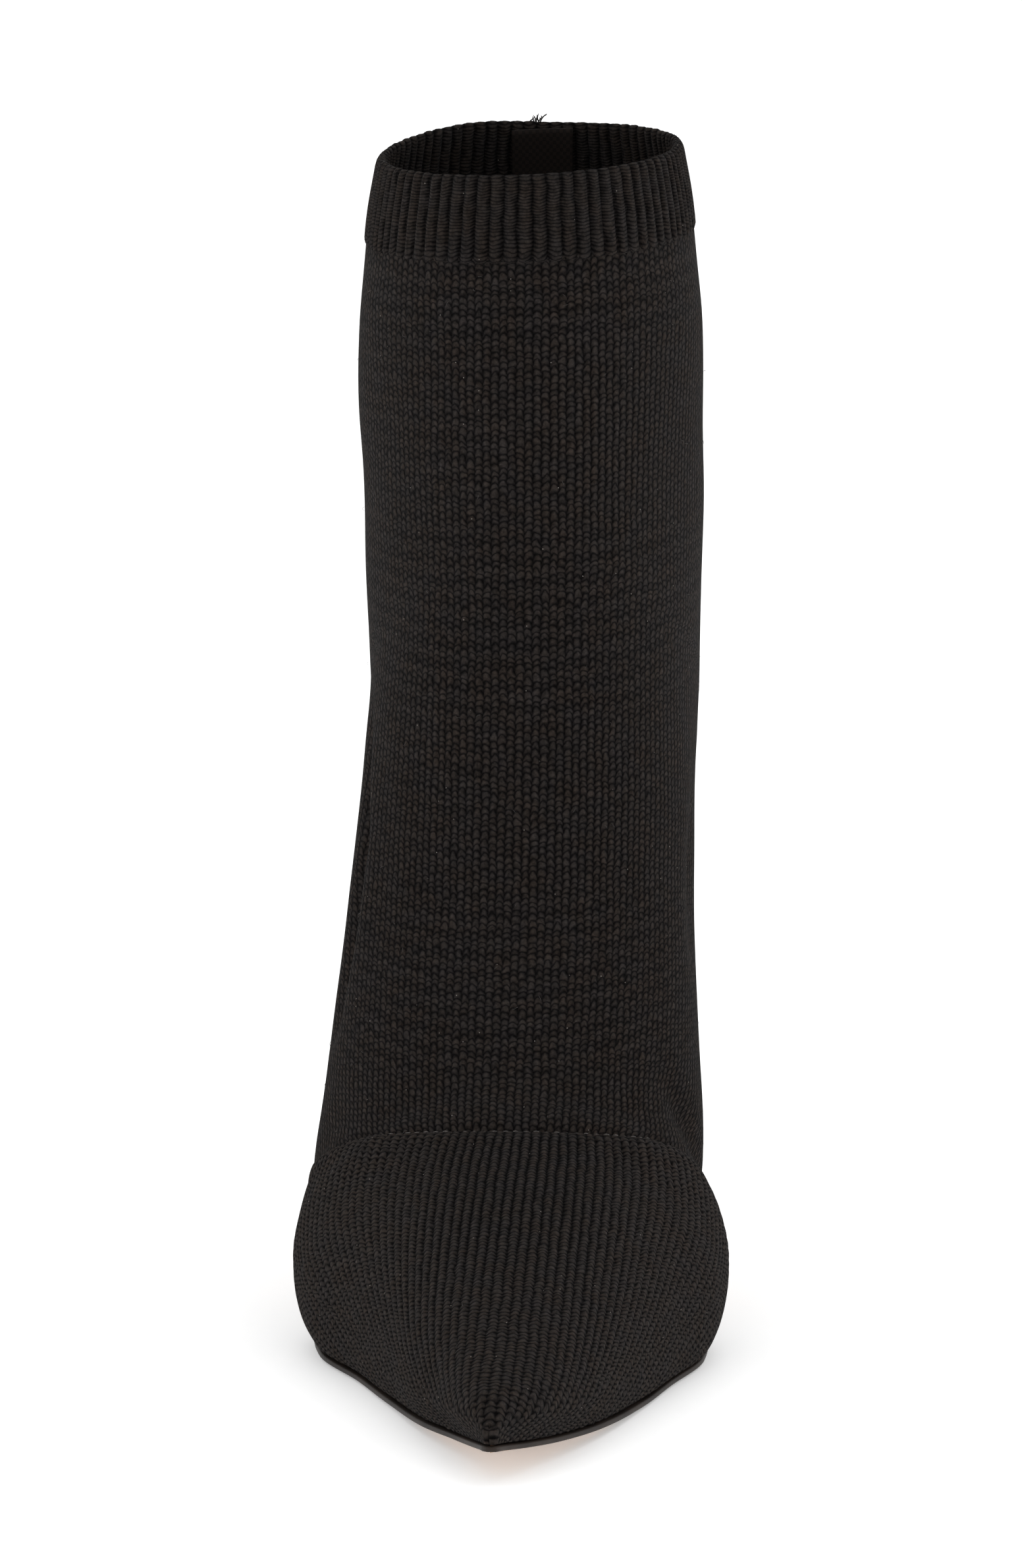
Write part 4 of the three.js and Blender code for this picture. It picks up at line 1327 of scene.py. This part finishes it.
class BootKnitSettings(PropertyGroup):
    wall: FloatProperty(name="Wall", description="Thickness of the knit", default=KNIT_WALL * MM,
                        min=0.001, max=0.003, unit="LENGTH")
    vamp_relief: FloatProperty(name="Vamp relief", description="Height of the vamp's wales",
                               default=0.0004, min=0.0, max=0.001, unit="LENGTH")
    rib_depth: FloatProperty(name="Rib depth", description="Depth of the grooves between the cuff's ribs",
                             default=0.00085, min=0.0, max=0.0012, unit="LENGTH")
    # The knit's colour runs from gap through yarn to crest as the stitches rise: the dark gap colour is
    # painted shade between the stitches.
    gap: StringProperty(name="Gap colour", description="sRGB colour between the stitches", default="#030202")
    yarn: StringProperty(name="Yarn colour", description="sRGB colour of the yarn", default="#131111")
    crest: StringProperty(name="Crest colour", description="sRGB colour of the stitches' tops",
                          default="#2A2624")
    sheen: FloatProperty(name="Sheen", description="Soft shine of the fibres at grazing angles",
                         default=0.015, min=0.0, max=1.0, subtype="FACTOR")
    lint: FloatProperty(name="Clean stitches", description="Share of the places for lint that stay clean",
                        default=0.9, min=0.0, max=1.0, subtype="FACTOR")


class BootSoleSettings(PropertyGroup):
    leather: StringProperty(name="Sole leather", description="sRGB colour of the sole", default="#B39273")
    leather_pore: StringProperty(name="Sole pores", description="sRGB colour in the sole leather's pores",
                                 default="#937253")


class BootStageSettings(PropertyGroup):
    surround: FloatProperty(name="Surround", description="Strength of the white surround", default=0.9)
    top_light: FloatProperty(name="Top light", description="Power of the top light", default=8.5,
                             unit="POWER")
    side_lights: FloatProperty(name="Side lights", description="Power of the light on either side",
                               default=14.0, unit="POWER")
    lens: FloatProperty(name="Lens", description="Focal length in millimetres", default=208.7)
    camera_place: FloatVectorProperty(name="Camera", description="Place of the camera", subtype="XYZ",
                                      default=(0.0869, -1.7916, 0.479), unit="LENGTH")
    camera_turn: FloatProperty(name="Turn", description="How far the camera looks to the inner side",
                               default=math.radians(2.8), unit="ROTATION")
    camera_tilt: FloatProperty(name="Tilt", description="How far the camera looks down",
                               default=math.radians(11.545), unit="ROTATION")


class BOOT_OT_knit_leg(Operator):
    """Knit the leg and the quarters, from the cross seam round the heel and up to the cuff"""

    bl_idname = "boot.knit_leg"
    bl_label = "Leg"

    def execute(self, context):
        build_leg(context.scene.boot_knit)
        return {"FINISHED"}


class BOOT_OT_knit_vamp(Operator):
    """Knit the vamp in front of the cross seam, with its wales as real ridges"""

    bl_idname = "boot.knit_vamp"
    bl_label = "Vamp"

    def execute(self, context):
        build_vamp(context.scene.boot_knit)
        return {"FINISHED"}


class BOOT_OT_rib_cuff(Operator):
    """Knit the ribbed cuff over the rim"""

    bl_idname = "boot.rib_cuff"
    bl_label = "Cuff"

    def execute(self, context):
        build_cuff(context.scene.boot_knit)
        return {"FINISHED"}


class BOOT_OT_threads(Operator):
    """Add the seam's stitches, the loose ends at the rim and the knit's stray fibres"""

    bl_idname = "boot.threads"
    bl_label = "Threads and fibres"

    def execute(self, context):
        build_seam_stitches()
        build_loose_ends()
        build_fibres()
        return {"FINISHED"}


class BOOT_OT_back_tape(Operator):
    """Add the woven tape inside the back of the leg"""

    bl_idname = "boot.back_tape"
    bl_label = "Back tape"

    def execute(self, context):
        build_back_tape(context.scene.boot_knit)
        return {"FINISHED"}


class BOOT_OT_sole(Operator):
    """Add the black rand, the leather sole and the sock lining"""

    bl_idname = "boot.sole"
    bl_label = "Sole"

    def execute(self, context):
        build_sole(context.scene.boot_sole)
        return {"FINISHED"}


class BOOT_OT_heel(Operator):
    """Add the covered heel and its top lift"""

    bl_idname = "boot.heel"
    bl_label = "Heel"

    def execute(self, context):
        build_heel_cover()
        build_top_lift()
        return {"FINISHED"}


class BOOT_OT_stage(Operator):
    """Set the paper floor, the lights and the camera"""

    bl_idname = "boot.stage"
    bl_label = "Stage"

    def execute(self, context):
        build_stage(context.scene.boot_stage)
        return {"FINISHED"}


OPERATORS = (
    BOOT_OT_knit_leg,
    BOOT_OT_knit_vamp,
    BOOT_OT_rib_cuff,
    BOOT_OT_threads,
    BOOT_OT_back_tape,
    BOOT_OT_sole,
    BOOT_OT_heel,
    BOOT_OT_stage,
)
SETTINGS = {
    "boot_knit": BootKnitSettings,
    "boot_sole": BootSoleSettings,
    "boot_stage": BootStageSettings,
}


class BOOT_PT_pieces(Panel):
    """The boot's pieces and their settings"""

    bl_idname = "BOOT_PT_pieces"
    bl_label = "Sweater boot"
    bl_space_type = "VIEW_3D"
    bl_region_type = "UI"
    bl_category = "Boot"

    def draw(self, context):
        for name, kind in SETTINGS.items():
            box = self.layout.box()
            for setting in kind.__annotations__:
                box.prop(getattr(context.scene, name), setting)
        for operator in OPERATORS:
            self.layout.operator(operator.bl_idname)


def register():
    for kind in (*SETTINGS.values(), *OPERATORS, BOOT_PT_pieces):
        bpy.utils.register_class(kind)
    for name, kind in SETTINGS.items():
        setattr(bpy.types.Scene, name, PointerProperty(type=kind))


def unregister():
    for name in SETTINGS:
        delattr(bpy.types.Scene, name)
    for kind in reversed((*SETTINGS.values(), *OPERATORS, BOOT_PT_pieces)):
        bpy.utils.unregister_class(kind)


def main():
    register()
    for operator in OPERATORS:
        group, name = operator.bl_idname.split(".")
        getattr(getattr(bpy.ops, group), name)()


if __name__ == "__main__":
    main()
